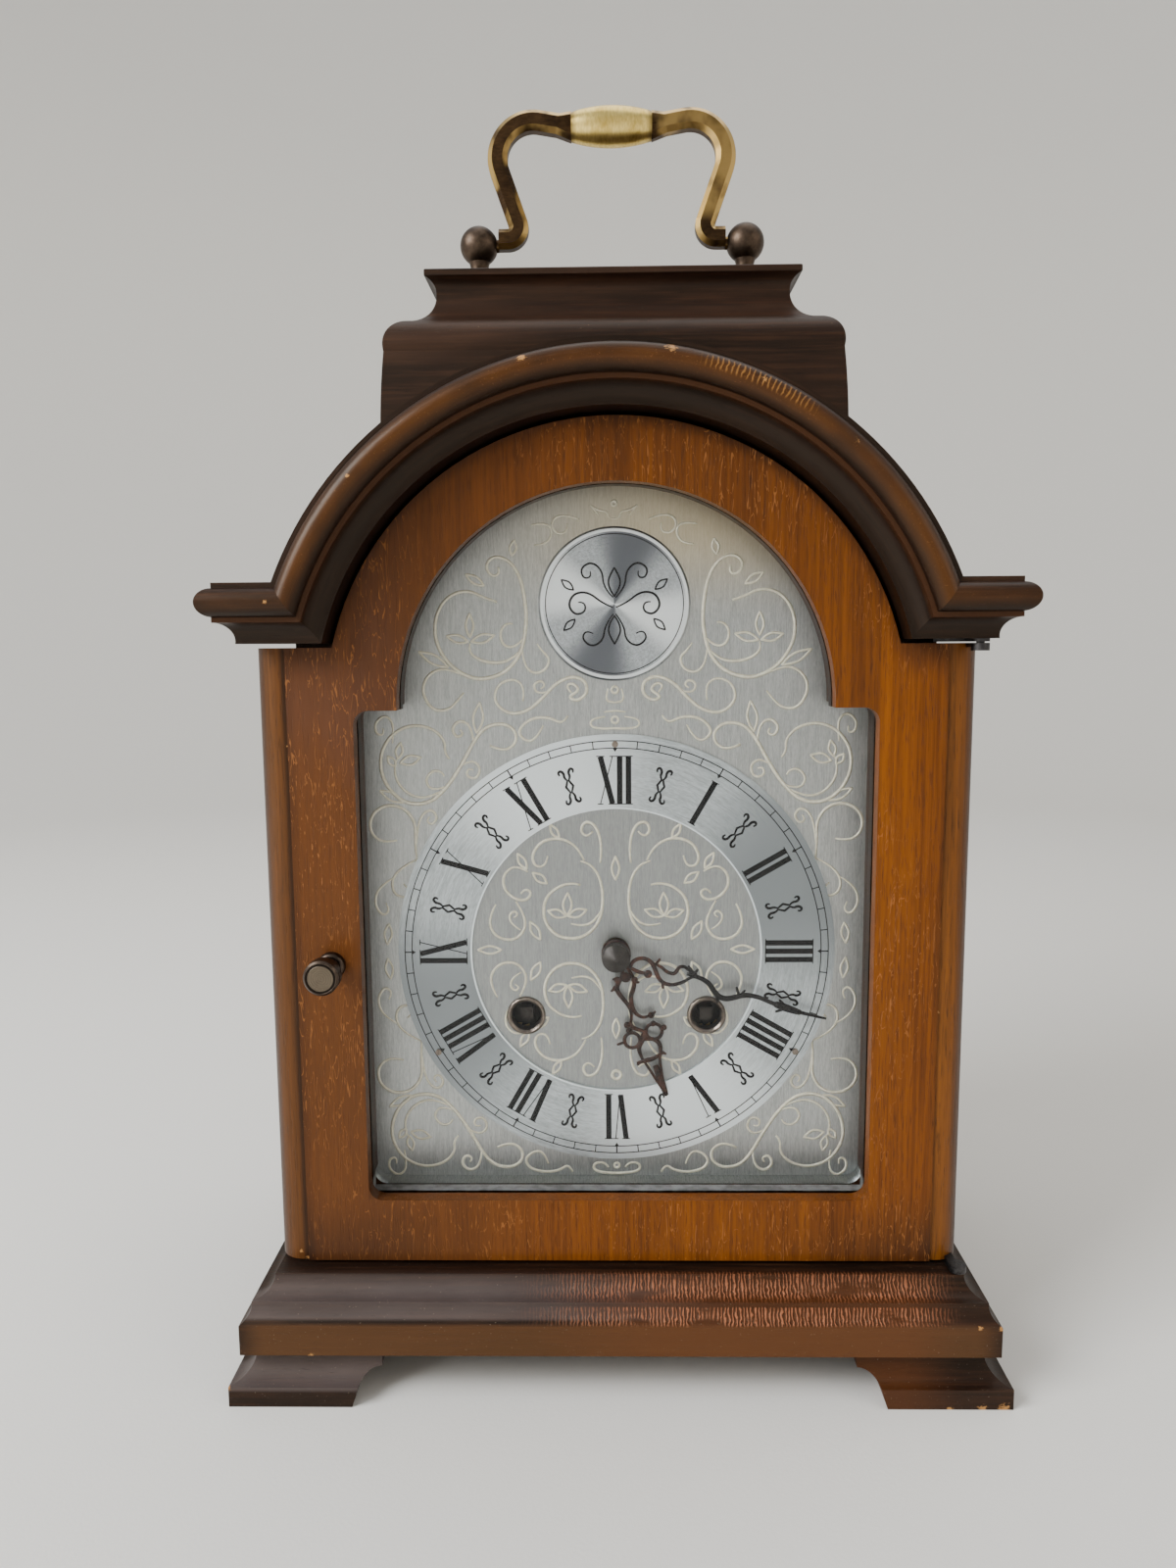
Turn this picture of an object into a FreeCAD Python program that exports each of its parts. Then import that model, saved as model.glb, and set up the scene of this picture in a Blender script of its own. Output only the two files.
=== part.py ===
import FreeCAD, Part
import math
import os

# A break-arch bracket clock with a caddy top and a carrying handle.
# Millimetres, +Z up. The origin is on the floor, under the middle of the feet, and the dial faces -Y.

# Overall depth, from the toes of the front feet to the back of the case
DEPTH = 145.0

# Working fits
BEARING_GAP = 0.05
FITTED_GAP = 0.3
OVERRUN = 5.0

# Base plinth: spreads are measured outwards from the edge of its top ledge
LEDGE_WIDTH = 214.0
LEDGE_AHEAD_OF_DOOR = 5.6
COVE_SPREAD = 5.4
FILLET_SPREAD = 5.9
FASCIA_SPREAD = 9.2
FASCIA_HEIGHT = 9.5
LOWER_COVE_HEIGHT = 4.6
FILLET_HEIGHT = 1.5
COVE_HEIGHT = 5.7

# Bracket feet
FOOT_HEIGHT = 14.9
FOOT_SPREAD = 12.2
FOOT_NECK_SPREAD = 5.3
FOOT_TOE_HEIGHT = 6.35
FOOT_NECK_HEIGHT = 1.2
FOOT_BOARD = 16.0
FOOT_LENGTH = 46.0
FOOT_TOE_SETBACK = 8.2
FOOT_CURVE_SETBACK = 6.2
FOOT_CURVE_START = 5.2

# Front door
DOOR_WIDTH = 215.0
DOOR_PANEL_WIDTH = 195.8
DOOR_SHOULDER_HEIGHT = 192.7
DOOR_ARCH_RISE = 172.2
DOOR_ARCH_RADIUS = 86.1
DOOR_THICKNESS = 13.0
DOOR_BOTTOM_GAP = 1.2
DOOR_BACK_GAP = 0.5
DOOR_STEP = 0.9
DOOR_OVOLO_DEPTH = 5.6

# Window in the door, its glass and the strip that holds the glass
WINDOW_WIDTH = 156.2
WINDOW_SILL = 20.0
WINDOW_SHOULDER = 174.0
WINDOW_ARCH_RISE = 175.0
WINDOW_ARCH_RADIUS = 65.0
WINDOW_CORNER = 4.5
GLASS_INSET = 5.0
GLASS_THICKNESS = 2.0
GLASS_LAP = 3.2
RETAINER_DEPTH = 4.0

# Door knob
KNOB_X = 87.1
KNOB_RISE = 96.2
KNOB_LENGTH = 14.0
KNOB_RADIUS = 5.3
KNOB_NECK_RADIUS = 2.9
KNOB_FOOT_RADIUS = 4.3
KNOB_FOOT_LENGTH = 1.2
KNOB_HEAD_LENGTH = 4.6
KNOB_DOME = 0.6
KNOB_STUD_RADIUS = 1.8

# Pivot hinges of the front door
HINGE_X = 105.6
HINGE_AHEAD_OF_DOOR = 3.5
KNUCKLE_RADIUS = 2.6
DOOR_KNUCKLE_HEIGHT = 2.2
HINGE_PIN_RADIUS = 1.2
LEAF_LENGTH = 12.0
LEAF_THICKNESS = 1.2
UPPER_LEAF_THICKNESS = 0.9
LEAF_INSET = 2.0
LEAF_DEPTH = 8.0
LEDGE_MARGIN = 0.4

# Ball catch of the front door
CATCH_RADIUS = 3.0
CATCH_DEPTH = 8.0
CATCH_BALL_RADIUS = 1.6
CATCH_STAND = 0.3
STRIKE_WIDTH = 9.0
STRIKE_HEIGHT = 24.0
STRIKE_THICKNESS = 1.0

# Case behind the door
CASE_WIDTH = 196.0
CASE_WALL = 10.0
FRONT_FRAME_DEPTH = 12.0
REAR_FRAME_DEPTH = 12.0
ROOF_RADIUS = 101.0
ROOF_WALL = 10.0
ROOF_SPRING_BELOW_EAR = 8.6
FRAME_OPENING_GROWTH = 1.0

# Hood moulding: spreads are measured ahead of the door's face, heights up from the moulding's lower edge
HOOD_GAP = 1.3
HOOD_HEIGHT = 17.2
HOOD_EDGE_SPREAD = 8.1
HOOD_COVE_SPREAD = 12.4
HOOD_COVE_HEIGHT = 6.0
HOOD_BEAD_SPREAD = 13.0
HOOD_BEAD_HEIGHT = 1.5
HOOD_TORUS_RADIUS = 4.1
HOOD_TORUS_SPREAD = 12.5
HOOD_FILLET_SPREAD = 12.8

# Caddy block and its top board
CADDY_SETBACK = 15.0
CADDY_WIDTH = 139.2
CADDY_SHOULDER_INSET = 0.8
CADDY_SHOULDER_TOP_INSET = 7.2
CADDY_NECK_INSET = 14.9
CADDY_SHOULDER_Z = 318.0
CADDY_SHOULDER_TOP_Z = 328.4
CADDY_NECK_Z = 340.0
CADDY_FOOT_BELOW_SHOULDER = 45.0
BOARD_OVERHANG = 3.1
BOARD_BEVEL_HEIGHT = 3.0
BOARD_EDGE_HEIGHT = 1.4
BOARD_ROUND_INSET = 0.6
BOARD_ROUND_HEIGHT = 0.6

# Carrying handle: heights are above the axis through the two ball posts
BALL_X = 43.6
BALL_RADIUS = 6.2
BALL_RISE = 15.5
POST_FOOT_RADIUS = 5.2
POST_FOOT_HEIGHT = 1.6
POST_NECK_RADIUS = 3.4
POST_STUD_RADIUS = 2.5
POST_STUD_DEPTH = 16.0
HANDLE_PIN_RADIUS = 2.0
HANDLE_PIN_DEPTH = 7.0
HANDLE_END_GAP = 0.4
ARM_WIDTH = 6.4
ARM_DEPTH = 6.0
ARM_CHAMFER = 1.5
ARM_OFFSET = 1.7
ARM_BEND_RADIUS = 3.6
ARM_BEND_X = 34.0
ARM_TOP_RADIUS = 11.6
ARM_TOP_X = 25.4
ARM_TOP_RISE = 26.5
ARM_END_X = 17.4
ARM_END_RISE = 36.9
ARM_END_HEIGHT = 9.0
ARM_END_DEPTH = 5.2
GRIP_LENGTH = 26.0
GRIP_RADIUS = 6.1
GRIP_END_RADIUS = 4.3
GRIP_RISE = 36.3

# Dial
DIAL_BEHIND_DOOR = 19.2
DIAL_THICKNESS = 1.2
DIAL_LAP = 4.2
DIAL_REBATE_GROWTH = 4.5
DIAL_CENTRE_RISE = 95.2
DIAL_CENTRE_HOLE_RADIUS = 4.4
RING_OUTER_RADIUS = 70.0
RING_INNER_RADIUS = 46.3
RING_THICKNESS = 1.0
RING_PIN_RADIUS = 1.0
RING_PIN_CIRCLE = 66.8
RING_PIN_HEIGHT = 0.4
RING_PIN_ANGLES = (90, -30, 210)
MEDALLION_RISE = 205.4
MEDALLION_RADIUS = 23.6
MEDALLION_BEVEL = 0.7
WINDING_SPACING = 58.4
WINDING_DROP = 21.4
GROMMET_RADIUS = 6.3
GROMMET_BORE_RADIUS = 4.8
GROMMET_TUBE_RADIUS = 5.4
GROMMET_FLANGE_HEIGHT = 1.1
GROMMET_TUBE_LENGTH = 3.6
DIAL_FOOT_RADIUS = 2.0
DIAL_FOOT_X = 50.0
DIAL_FOOT_RISE = 33.0

# Hands
HAND_THICKNESS = 0.8
HOUR_HAND_LENGTH = 47.0
MINUTE_HAND_LENGTH = 67.3
HOUR_HAND_STAND = 1.4
HAND_SPACING = 1.8
HAND_BOSS_RADIUS = 4.8
HAND_STROKE = 1.1
HOUR_HAND_ANGLE = 159.0
MINUTE_HAND_ANGLE = 108.0
NUT_RADIUS = 4.5
NUT_LENGTH = 5.6
NUT_COLLAR_LENGTH = 1.6
NUT_GROOVE = 0.6
NUT_TIP_RADIUS = 0.5
NUT_CONE_LENGTH = 2.2

# Lines of the hands, drawn pointing up: across, along, and the bulge of the arc that leads to the point
HOUR_BAR = ((1.8, 3.6, 0), (0.5, 17.5, 0.16), (2.4, 24.6, -0.18))
HOUR_RINGS = ((-3.4, 27.3, 2.9), (3.4, 27.3, 2.9), (0, 31.9, 2.9))
HOUR_STEM = ((0, 34.4, 0), (0, 36.4, 0))
HOUR_BARBS = ((0, 34.9, -3.6, 36.0), (0, 34.9, 3.6, 36.0), (5.6, 28.6, 7.4, 29.6), (-5.6, 28.6, -7.4, 29.6),
              (5.0, 25.4, 6.6, 24.0), (-5.0, 25.4, -6.6, 24.0), (2.2, 6.4, 4.4, 7.8), (-2.2, 6.4, -4.4, 7.8),
              (2.0, 31.6, 4.2, 33.2), (-2.0, 31.6, -4.2, 33.2))
HOUR_TIP = 1.9
HOUR_TIP_FROM = 36.6
MINUTE_NECK = ((0, 3.8, 0), (1.0, 7.0, 0))
MINUTE_RING = (1.0, 9.8, 2.9)
MINUTE_LOOP = ((-0.2, 12.6, 0), (0.4, 16.0, 0), (-0.4, 19.6, -0.1), (-2.4, 21.4, 0.1), (-0.7, 24.1, -0.25),
               (3.0, 21.0, -0.1), (4.1, 17.0, -0.12), (2.4, 13.6, -0.16), (-0.2, 12.6, -0.1))
MINUTE_NODE = (-0.7, 24.6, 1.5)
MINUTE_BLADE = ((-0.8, 26.5, 0), (0.7, 30.5, 0.08), (3.0, 33.7, 0), (2.7, 37.2, 0.35), (0.6, 40.8, 0),
                (-0.4, 44.7, 0.08), (0, 49.7, 0.04), (0, 53.6, 0))
MINUTE_BARBS = ((1.4, 39.2, -1.5, 39.8), (0.2, 51.6, 2.8, 53.2), (0.2, 51.6, -2.0, 53.2))
MINUTE_TIP = 1.3
MINUTE_TIP_FROM = 51.8

# Movement plates, pillars and the board that they stand on
PLATE_WIDTH = 124.0
PLATE_BOTTOM = 80.0
PLATE_TOP = 181.0
PLATE_THICKNESS = 1.6
PLATE_SPACING = 36.0
PLATE_CORNER = 8.0
PILLAR_RADIUS = 3.2
PILLAR_INSET = 7.0
PILLAR_NUT_RADIUS = 4.4
PILLAR_NUT_HEIGHT = 3.0
PILLAR_STUD_RADIUS = 2.0
SEAT_THICKNESS = 10.0
SEAT_OVERHANG = 2.0
SEAT_GAP = 0.5
RAIL_WIDTH = 9.0
RAIL_HEIGHT = 10.0

# Wheels: a tooth's height and thickness are shares of the module and of the pitch
ADDENDUM_SHARE = 0.72
DEDENDUM_SHARE = 1.2
TOOTH_SHARE = 0.43
WHEEL_THICKNESS = 1.6
RIM_SHARE = 0.82
SPOKE_WIDTH = 3.0
HUB_RADIUS = 3.4
ARBOR_RADIUS = 1.1
CENTRE_ARBOR_RADIUS = 1.5
PIVOT_RADIUS = 0.9
PIVOT_LENGTH = 1.2
GREAT_TEETH = 84
GREAT_MODULE = 0.62
GREAT_PINION_TEETH = 12
INTERMEDIATE_TEETH = 72
INTERMEDIATE_MODULE = 0.5
CENTRE_PINION_TEETH = 10
CENTRE_TEETH = 72
CENTRE_MODULE = 0.45
THIRD_PINION_TEETH = 8
THIRD_TEETH = 64
THIRD_MODULE = 0.42
ESCAPE_PINION_TEETH = 8
ESCAPE_TEETH = 30
ESCAPE_RADIUS = 9.2
ESCAPE_TOOTH_DEPTH = 2.0
THIRD_DIRECTION = 125.0
FLY_AT = 10.0
CANNON_TEETH = 12
MINUTE_WHEEL_TEETH = 36
MINUTE_MODULE = 0.55
MINUTE_PINION_TEETH = 10
HOUR_TEETH = 40
CANNON_PIPE_RADIUS = 2.5
CANNON_END_RADIUS = 1.9
HOUR_PIPE_WALL = 0.9
PIN_WHEEL_TEETH = 60
PIN_WHEEL_MODULE = 0.5
PIN_WHEEL_DIRECTION = 110.0
FLY_PINION_TEETH = 8
FLY_DIRECTION = 60.0

MOTION_GAP = 1.0
MOTION_WHEEL_THICKNESS = 1.3
MINUTE_POST_RADIUS = 1.1

# Where the wheels sit along their arbors, measured from the front plate's inner face
CENTRE_WHEEL_AT = 2.2
THIRD_WHEEL_AT = 12.0
ESCAPE_WHEEL_AT = 20.0
GREAT_WHEEL_AT = 25.5
INTERMEDIATE_WHEEL_AT = 30.5
PINION_OVERLAP = 1.4

# Barrels and winding arbors
BARREL_RADIUS = 21.0
BARREL_LENGTH = 18.0
WINDER_RADIUS = 3.2
WINDER_SQUARE = 4.0
WINDER_SQUARE_LENGTH = 9.0
WINDER_BEHIND_DIAL = 0.6
RATCHET_TEETH = 20
RATCHET_RADIUS = 9.0
RATCHET_DEPTH = 1.2
RATCHET_THICKNESS = 1.4

# Pallets and pendulum
PALLET_RISE_SHARE = 1.38
PALLET_ARM_WIDTH = 2.6
PALLET_THICKNESS = 1.6
PALLET_SPREAD = 45.0
PALLET_CLEARANCE = 0.85
CRUTCH_LENGTH = 34.0
CRUTCH_WIDTH = 2.4
CRUTCH_BEHIND_PLATE = 1.6
COCK_BEHIND_PLATE = 5.4
PENDULUM_BEHIND_PLATE = 11.5
PENDULUM_LENGTH = 113.0
PENDULUM_ROD_RADIUS = 0.9
BOB_RADIUS = 15.0
BOB_THICKNESS = 7.0
BOB_EDGE = 2.0
BOB_CENTRE_RADIUS = 3.0
RATING_NUT_RADIUS = 2.6
RATING_NUT_HEIGHT = 2.6
COCK_WIDTH = 26.0
COCK_THICKNESS = 2.0
COCK_DROP = 4.0
SUSPENSION_PIN_RADIUS = 1.0
SUSPENSION_HEAD = 2.2

# Strike work, hammer and gong
PIN_CIRCLE = 13.3
PIN_COUNT = 8
PIN_RADIUS = 0.6
PIN_LENGTH = 2.4
FLY_SPAN = 6.4
FLY_WIDTH = 14.0
FLY_BLADE = 0.6
HAMMER_X = -56.4
HAMMER_Z = 127.0
HAMMER_ARM_WIDTH = 2.2
HAMMER_HEAD_RADIUS = 4.0
HAMMER_HEAD_LENGTH = 9.0
HAMMER_TAIL_WIDTH = 2.0
HAMMER_GONG_GAP = 1.2
HAMMER_HEAD_RISE = 4.0
GONG_BEHIND_PLATE = 19.0
GONG_STRIP_DEPTH = 3.0
GONG_STRIP_WIDTH = 1.4
GONG_INNER_RADIUS = 12.0
GONG_PITCH = 5.0
GONG_HALF_TURNS = 7
GONG_CENTRE_Z = 68.0
GONG_POST_RADIUS = 3.0
GONG_BLOCK_GAP = 1.9
GONG_BLOCK_RISE = 8.0
GONG_BLOCK_WIDTH = 22.0
GONG_BLOCK_DEPTH = 14.0

# Rear door
REAR_OPENING_WIDTH = 154.0
REAR_OPENING_SILL = 16.0
REAR_OPENING_SHOULDER = 172.0
REAR_OPENING_RADIUS = 66.0
REAR_DOOR_GAP = 0.8
REAR_DOOR_THICKNESS = 5.0
REAR_DOOR_INSET = 4.6
REAR_STOP_LAP = 3.0
REAR_STOP_DEPTH = 2.0
REAR_KNUCKLE_RADIUS = 1.6
REAR_KNUCKLE_LENGTH = 6.0
REAR_KNUCKLE_GAP = 0.2
REAR_LEAF_LENGTH = 10.0
REAR_PIN_RADIUS = 0.8
REAR_LEAF_THICKNESS = 0.8
REAR_HINGE_INSET = 26.0
REAR_KNOB_RADIUS = 4.4
REAR_KNOB_LENGTH = 4.2
REAR_KNOB_NECK_RADIUS = 2.4
REAR_KNOB_INSET = 9.0
SOUND_SLOT_COUNT = 5
SOUND_SLOT_WIDTH = 3.0
SOUND_SLOT_LENGTH = 34.0
SOUND_SLOT_PITCH = 9.0
SOUND_SLOT_SILL = 22.0

# Bulge of an arc as a share of its chord
QUARTER_SHARE = (math.sqrt(2) - 1) / 2
HALF_SHARE = 0.5
SHALLOW_SHARE = 0.12
SLIGHT_SHARE = 0.02

# Places that follow from the sizes above
FRONT_Y = -DEPTH / 2
BACK_Y = DEPTH / 2
LEDGE_Y = FRONT_Y + FOOT_SPREAD
DOOR_Y = LEDGE_Y + LEDGE_AHEAD_OF_DOOR
DOOR_BACK_Y = DOOR_Y + DOOR_THICKNESS
FRAME_Y = DOOR_BACK_Y + DOOR_BACK_GAP
CASE_Y = FRAME_Y + FRONT_FRAME_DEPTH
REAR_FRAME_Y = BACK_Y - REAR_FRAME_DEPTH
BASE_TOP = FOOT_HEIGHT + FASCIA_HEIGHT + LOWER_COVE_HEIGHT + FILLET_HEIGHT + COVE_HEIGHT
DOOR_BOTTOM = BASE_TOP + DOOR_BOTTOM_GAP
SHOULDER_Z = DOOR_BOTTOM + DOOR_SHOULDER_HEIGHT
ARCH_Z = DOOR_BOTTOM + DOOR_ARCH_RISE
EAR_Z = SHOULDER_Z + HOOD_GAP
EAR_TOP = EAR_Z + HOOD_HEIGHT
HOOD_RADIUS = DOOR_ARCH_RADIUS + HOOD_GAP
HOOD_WIDTH = LEDGE_WIDTH - 2 * LEDGE_AHEAD_OF_DOOR
DIAL_Y = DOOR_Y + DIAL_BEHIND_DOOR
DIAL_BACK_Y = DIAL_Y + DIAL_THICKNESS
DIAL_Z = DOOR_BOTTOM + DIAL_CENTRE_RISE
WINDING_X = WINDING_SPACING / 2
WINDING_Z = DIAL_Z - WINDING_DROP
HOUR_HAND_Y = DIAL_Y - RING_THICKNESS - HOUR_HAND_STAND
MINUTE_HAND_Y = HOUR_HAND_Y - HAND_THICKNESS - HAND_SPACING
NUT_Y = MINUTE_HAND_Y - HAND_THICKNESS
PLATE_INNER_Y = -PLATE_SPACING / 2
PLATE_FRONT_Y = PLATE_INNER_Y - PLATE_THICKNESS
BACK_PLATE_Y = PLATE_SPACING / 2
BACK_PLATE_BACK_Y = BACK_PLATE_Y + PLATE_THICKNESS
CADDY_Y = DOOR_Y + CADDY_SETBACK
BOARD_Z = CADDY_NECK_Z
BOARD_TOP = BOARD_Z + BOARD_BEVEL_HEIGHT + BOARD_EDGE_HEIGHT + BOARD_ROUND_HEIGHT
BALL_Z = BOARD_TOP + BALL_RISE

V = FreeCAD.Vector
PLANES = {
    "xz": lambda u, v, w: V(u, w, v),
    "yz": lambda u, v, w: V(w, u, v),
    "xy": lambda u, v, w: V(u, v, w),
}


class Outline:
    """A closed flat outline of straight lines and arcs. A positive bulge is to the left of travel."""

    def __init__(self, u, v):
        self.start = (u, v)
        self.here = (u, v)
        self.pieces = []

    def line(self, u, v):
        if math.dist(self.here, (u, v)) > 0:
            self.pieces.append((self.here, None, (u, v)))
        self.here = (u, v)
        return self

    def curve(self, u, v, bulge_share):
        if bulge_share == 0:
            return self.line(u, v)
        run_u, run_v = u - self.here[0], v - self.here[1]
        if math.dist(self.here, (u, v)) == 0:
            return self
        middle_u = (u + self.here[0]) / 2 - bulge_share * run_v
        middle_v = (v + self.here[1]) / 2 + bulge_share * run_u
        self.pieces.append((self.here, (middle_u, middle_v), (u, v)))
        self.here = (u, v)
        return self

    def through(self, middle, end):
        self.pieces.append((self.here, middle, end))
        self.here = end
        return self

    def face(self, plane, level):
        self.line(*self.start)
        place = PLANES[plane]
        edges = []
        for start, middle, end in self.pieces:
            ends = place(*start, level), place(*end, level)
            if middle is None:
                edges.append(Part.LineSegment(*ends).toShape())
            else:
                edges.append(Part.Arc(ends[0], place(*middle, level), ends[1]).toShape())
        return Part.Face(Part.Wire(edges))

    def prism(self, plane, low, high):
        return self.face(plane, low).extrude(PLANES[plane](0, 0, high - low))

    def turned(self, axis, x=0, y=0, z=0):
        plane = {"x": "xz", "y": "yz", "z": "xz"}[axis]
        direction = {"x": V(1, 0, 0), "y": V(0, 1, 0), "z": V(0, 0, 1)}[axis]
        solid = self.face(plane, 0).revolve(V(0, 0, 0), direction, 360)
        solid.translate(V(x, y, z))
        return solid


def box(x0, x1, y0, y1, z0, z1):
    return Part.makeBox(x1 - x0, y1 - y0, z1 - z0, V(x0, y0, z0))


def bar(axis, radius, low, high, first=0, second=0):
    """A round bar along an axis; first and second are its place on the other two axes, in order."""
    start = {"x": V(low, first, second), "y": V(first, low, second), "z": V(first, second, low)}[axis]
    direction = {"x": V(1, 0, 0), "y": V(0, 1, 0), "z": V(0, 0, 1)}[axis]
    return Part.makeCylinder(radius, high - low, start, direction)


def tube(axis, radius, bore, low, high, first=0, second=0):
    return bar(axis, radius, low, high, first, second).cut(bar(axis, bore, low, high, first, second))


def joined(shapes):
    return shapes[0].fuse(list(shapes[1:])).removeSplitter()


def mirrored(shape):
    return shape.mirror(V(0, 0, 0), V(1, 0, 0))


def turned_about_y(shape, degrees, x=0, z=0):
    copy = shape.copy()
    copy.rotate(V(x, 0, z), V(0, 1, 0), degrees)
    return copy


def save(name, *solids):
    whole = solids[0] if len(solids) == 1 else Part.makeCompound(list(solids))
    pieces = whole.Solids
    if not pieces or not whole.isValid() or min(piece.Volume for piece in pieces) <= 0:
        raise ValueError(name + " isn't a sound solid")
    whole = pieces[0] if len(pieces) == 1 else Part.makeCompound(pieces)
    whole.exportStep("parts/" + name + ".step")


def moulded_profile(steps, low, high, high_moulded=True):
    """An outline whose sides carry a moulding. Steps run upwards as (spread, height, bulge)."""
    path = Outline(low - steps[0][0], steps[0][1])
    for spread, height, bulge_share in steps[1:]:
        path.curve(low - spread, height, bulge_share)
    if high_moulded:
        path.line(high + steps[-1][0], steps[-1][1])
        for index in range(len(steps) - 1, 0, -1):
            below = steps[index - 1]
            path.curve(high + below[0], below[1], steps[index][2])
    else:
        path.line(high, steps[-1][1])
        path.line(high, steps[0][1])
    return path


def moulded_block(steps, width, front, back, back_moulded=False):
    """A block with the moulding mitred round its front and sides, and round its back if asked."""
    reach = max(step[0] for step in steps) + OVERRUN
    rear = back + reach if back_moulded else back
    along = moulded_profile(steps, -width / 2, width / 2).prism("xz", front - reach, rear)
    across = moulded_profile(steps, front, back, back_moulded).prism("yz", -width / 2 - reach, width / 2 + reach)
    return along.common(across)


def break_arch(width, bottom, shoulder, arch_z, radius, grow=0, corner=0):
    """A rectangle with a round arch on its shoulders, as an outline that runs clockwise."""
    half, low, top, arch = width / 2 + grow, bottom - grow, shoulder + grow, radius + grow
    spring = math.sqrt(arch ** 2 - (top - arch_z) ** 2)
    path = Outline(-half + corner, low)
    path.curve(-half, low + corner, QUARTER_SHARE)
    path.line(-half, top - corner)
    path.curve(-half + corner, top, QUARTER_SHARE)
    path.line(-spring, top)
    path.through((0, arch_z + arch), (spring, top))
    path.line(half - corner, top)
    path.curve(half, top - corner, QUARTER_SHARE)
    path.line(half, low + corner)
    path.curve(half - corner, low, QUARTER_SHARE)
    return path


def window_outline(grow, corner=0):
    return break_arch(WINDOW_WIDTH, DOOR_BOTTOM + WINDOW_SILL, DOOR_BOTTOM + WINDOW_SHOULDER,
                      DOOR_BOTTOM + WINDOW_ARCH_RISE, WINDOW_ARCH_RADIUS, grow, corner)


def make_base():
    """The plinth: fascia, small cove, fillet and main cove under a flat ledge."""
    heights = [FOOT_HEIGHT]
    for rise in (FASCIA_HEIGHT, LOWER_COVE_HEIGHT, FILLET_HEIGHT, COVE_HEIGHT):
        heights.append(heights[-1] + rise)
    steps = [(FASCIA_SPREAD, heights[0], 0), (FASCIA_SPREAD, heights[1], 0),
             (FILLET_SPREAD, heights[2], -SHALLOW_SHARE), (FILLET_SPREAD, heights[3], 0),
             (COVE_SPREAD, heights[3], 0), (0, heights[4], -QUARTER_SHARE)]
    plinth = moulded_block(steps, LEDGE_WIDTH, LEDGE_Y, BACK_Y)
    save("base_plinth", plinth.cut(ledge_leaf()))


def foot_gap(low, high):
    """The space between two feet, seen square on: their inner ends run down, then curve in to the toe."""
    path = Outline(low, FOOT_HEIGHT + OVERRUN)
    path.line(high, FOOT_HEIGHT + OVERRUN)
    path.line(high, FOOT_HEIGHT - FOOT_CURVE_START)
    path.curve(high + FOOT_CURVE_SETBACK, FOOT_TOE_HEIGHT, SHALLOW_SHARE)
    path.line(high + FOOT_TOE_SETBACK, 0)
    path.line(high + FOOT_TOE_SETBACK, -OVERRUN)
    path.line(low - FOOT_TOE_SETBACK, -OVERRUN)
    path.line(low - FOOT_TOE_SETBACK, 0)
    path.line(low - FOOT_CURVE_SETBACK, FOOT_TOE_HEIGHT)
    path.curve(low, FOOT_HEIGHT - FOOT_CURVE_START, SHALLOW_SHARE)
    return path


def make_feet():
    """Four bracket feet, each two boards mitred at the corner, with a cove that flares out to the toe."""
    steps = [(FOOT_SPREAD, 0, 0), (FOOT_SPREAD, FOOT_TOE_HEIGHT, 0),
             (FOOT_NECK_SPREAD, FOOT_HEIGHT - FOOT_NECK_HEIGHT, -QUARTER_SHARE), (FOOT_NECK_SPREAD, FOOT_HEIGHT, 0)]
    boards = moulded_block(steps, LEDGE_WIDTH, LEDGE_Y, BACK_Y)
    inside_x = LEDGE_WIDTH / 2 + FOOT_NECK_SPREAD - FOOT_BOARD
    inside_front = LEDGE_Y - FOOT_NECK_SPREAD + FOOT_BOARD
    boards = boards.cut(box(-inside_x, inside_x, inside_front, BACK_Y - FOOT_BOARD, -OVERRUN, FOOT_HEIGHT + OVERRUN))
    toe_x = LEDGE_WIDTH / 2 + FOOT_SPREAD
    gap_x = toe_x - FOOT_LENGTH
    boards = boards.cut(foot_gap(-gap_x, gap_x).prism("xz", FRONT_Y - OVERRUN, BACK_Y + OVERRUN))
    boards = boards.cut(foot_gap(FRONT_Y + FOOT_LENGTH, BACK_Y - FOOT_LENGTH).prism("yz", -toe_x - OVERRUN,
                                                                                   toe_x + OVERRUN))
    save("bracket_feet", *boards.Solids)


def case_outline():
    """The case seen from the front: square up to the ears, then the arch of the roof."""
    half = CASE_WIDTH / 2
    spring = math.sqrt(ROOF_RADIUS ** 2 - (EAR_TOP - ARCH_Z) ** 2)
    path = Outline(-half, BASE_TOP)
    path.line(-half, EAR_TOP).line(-spring, EAR_TOP)
    path.through((0, ARCH_Z + ROOF_RADIUS), (spring, EAR_TOP))
    path.line(half, EAR_TOP).line(half, BASE_TOP)
    return path


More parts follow.
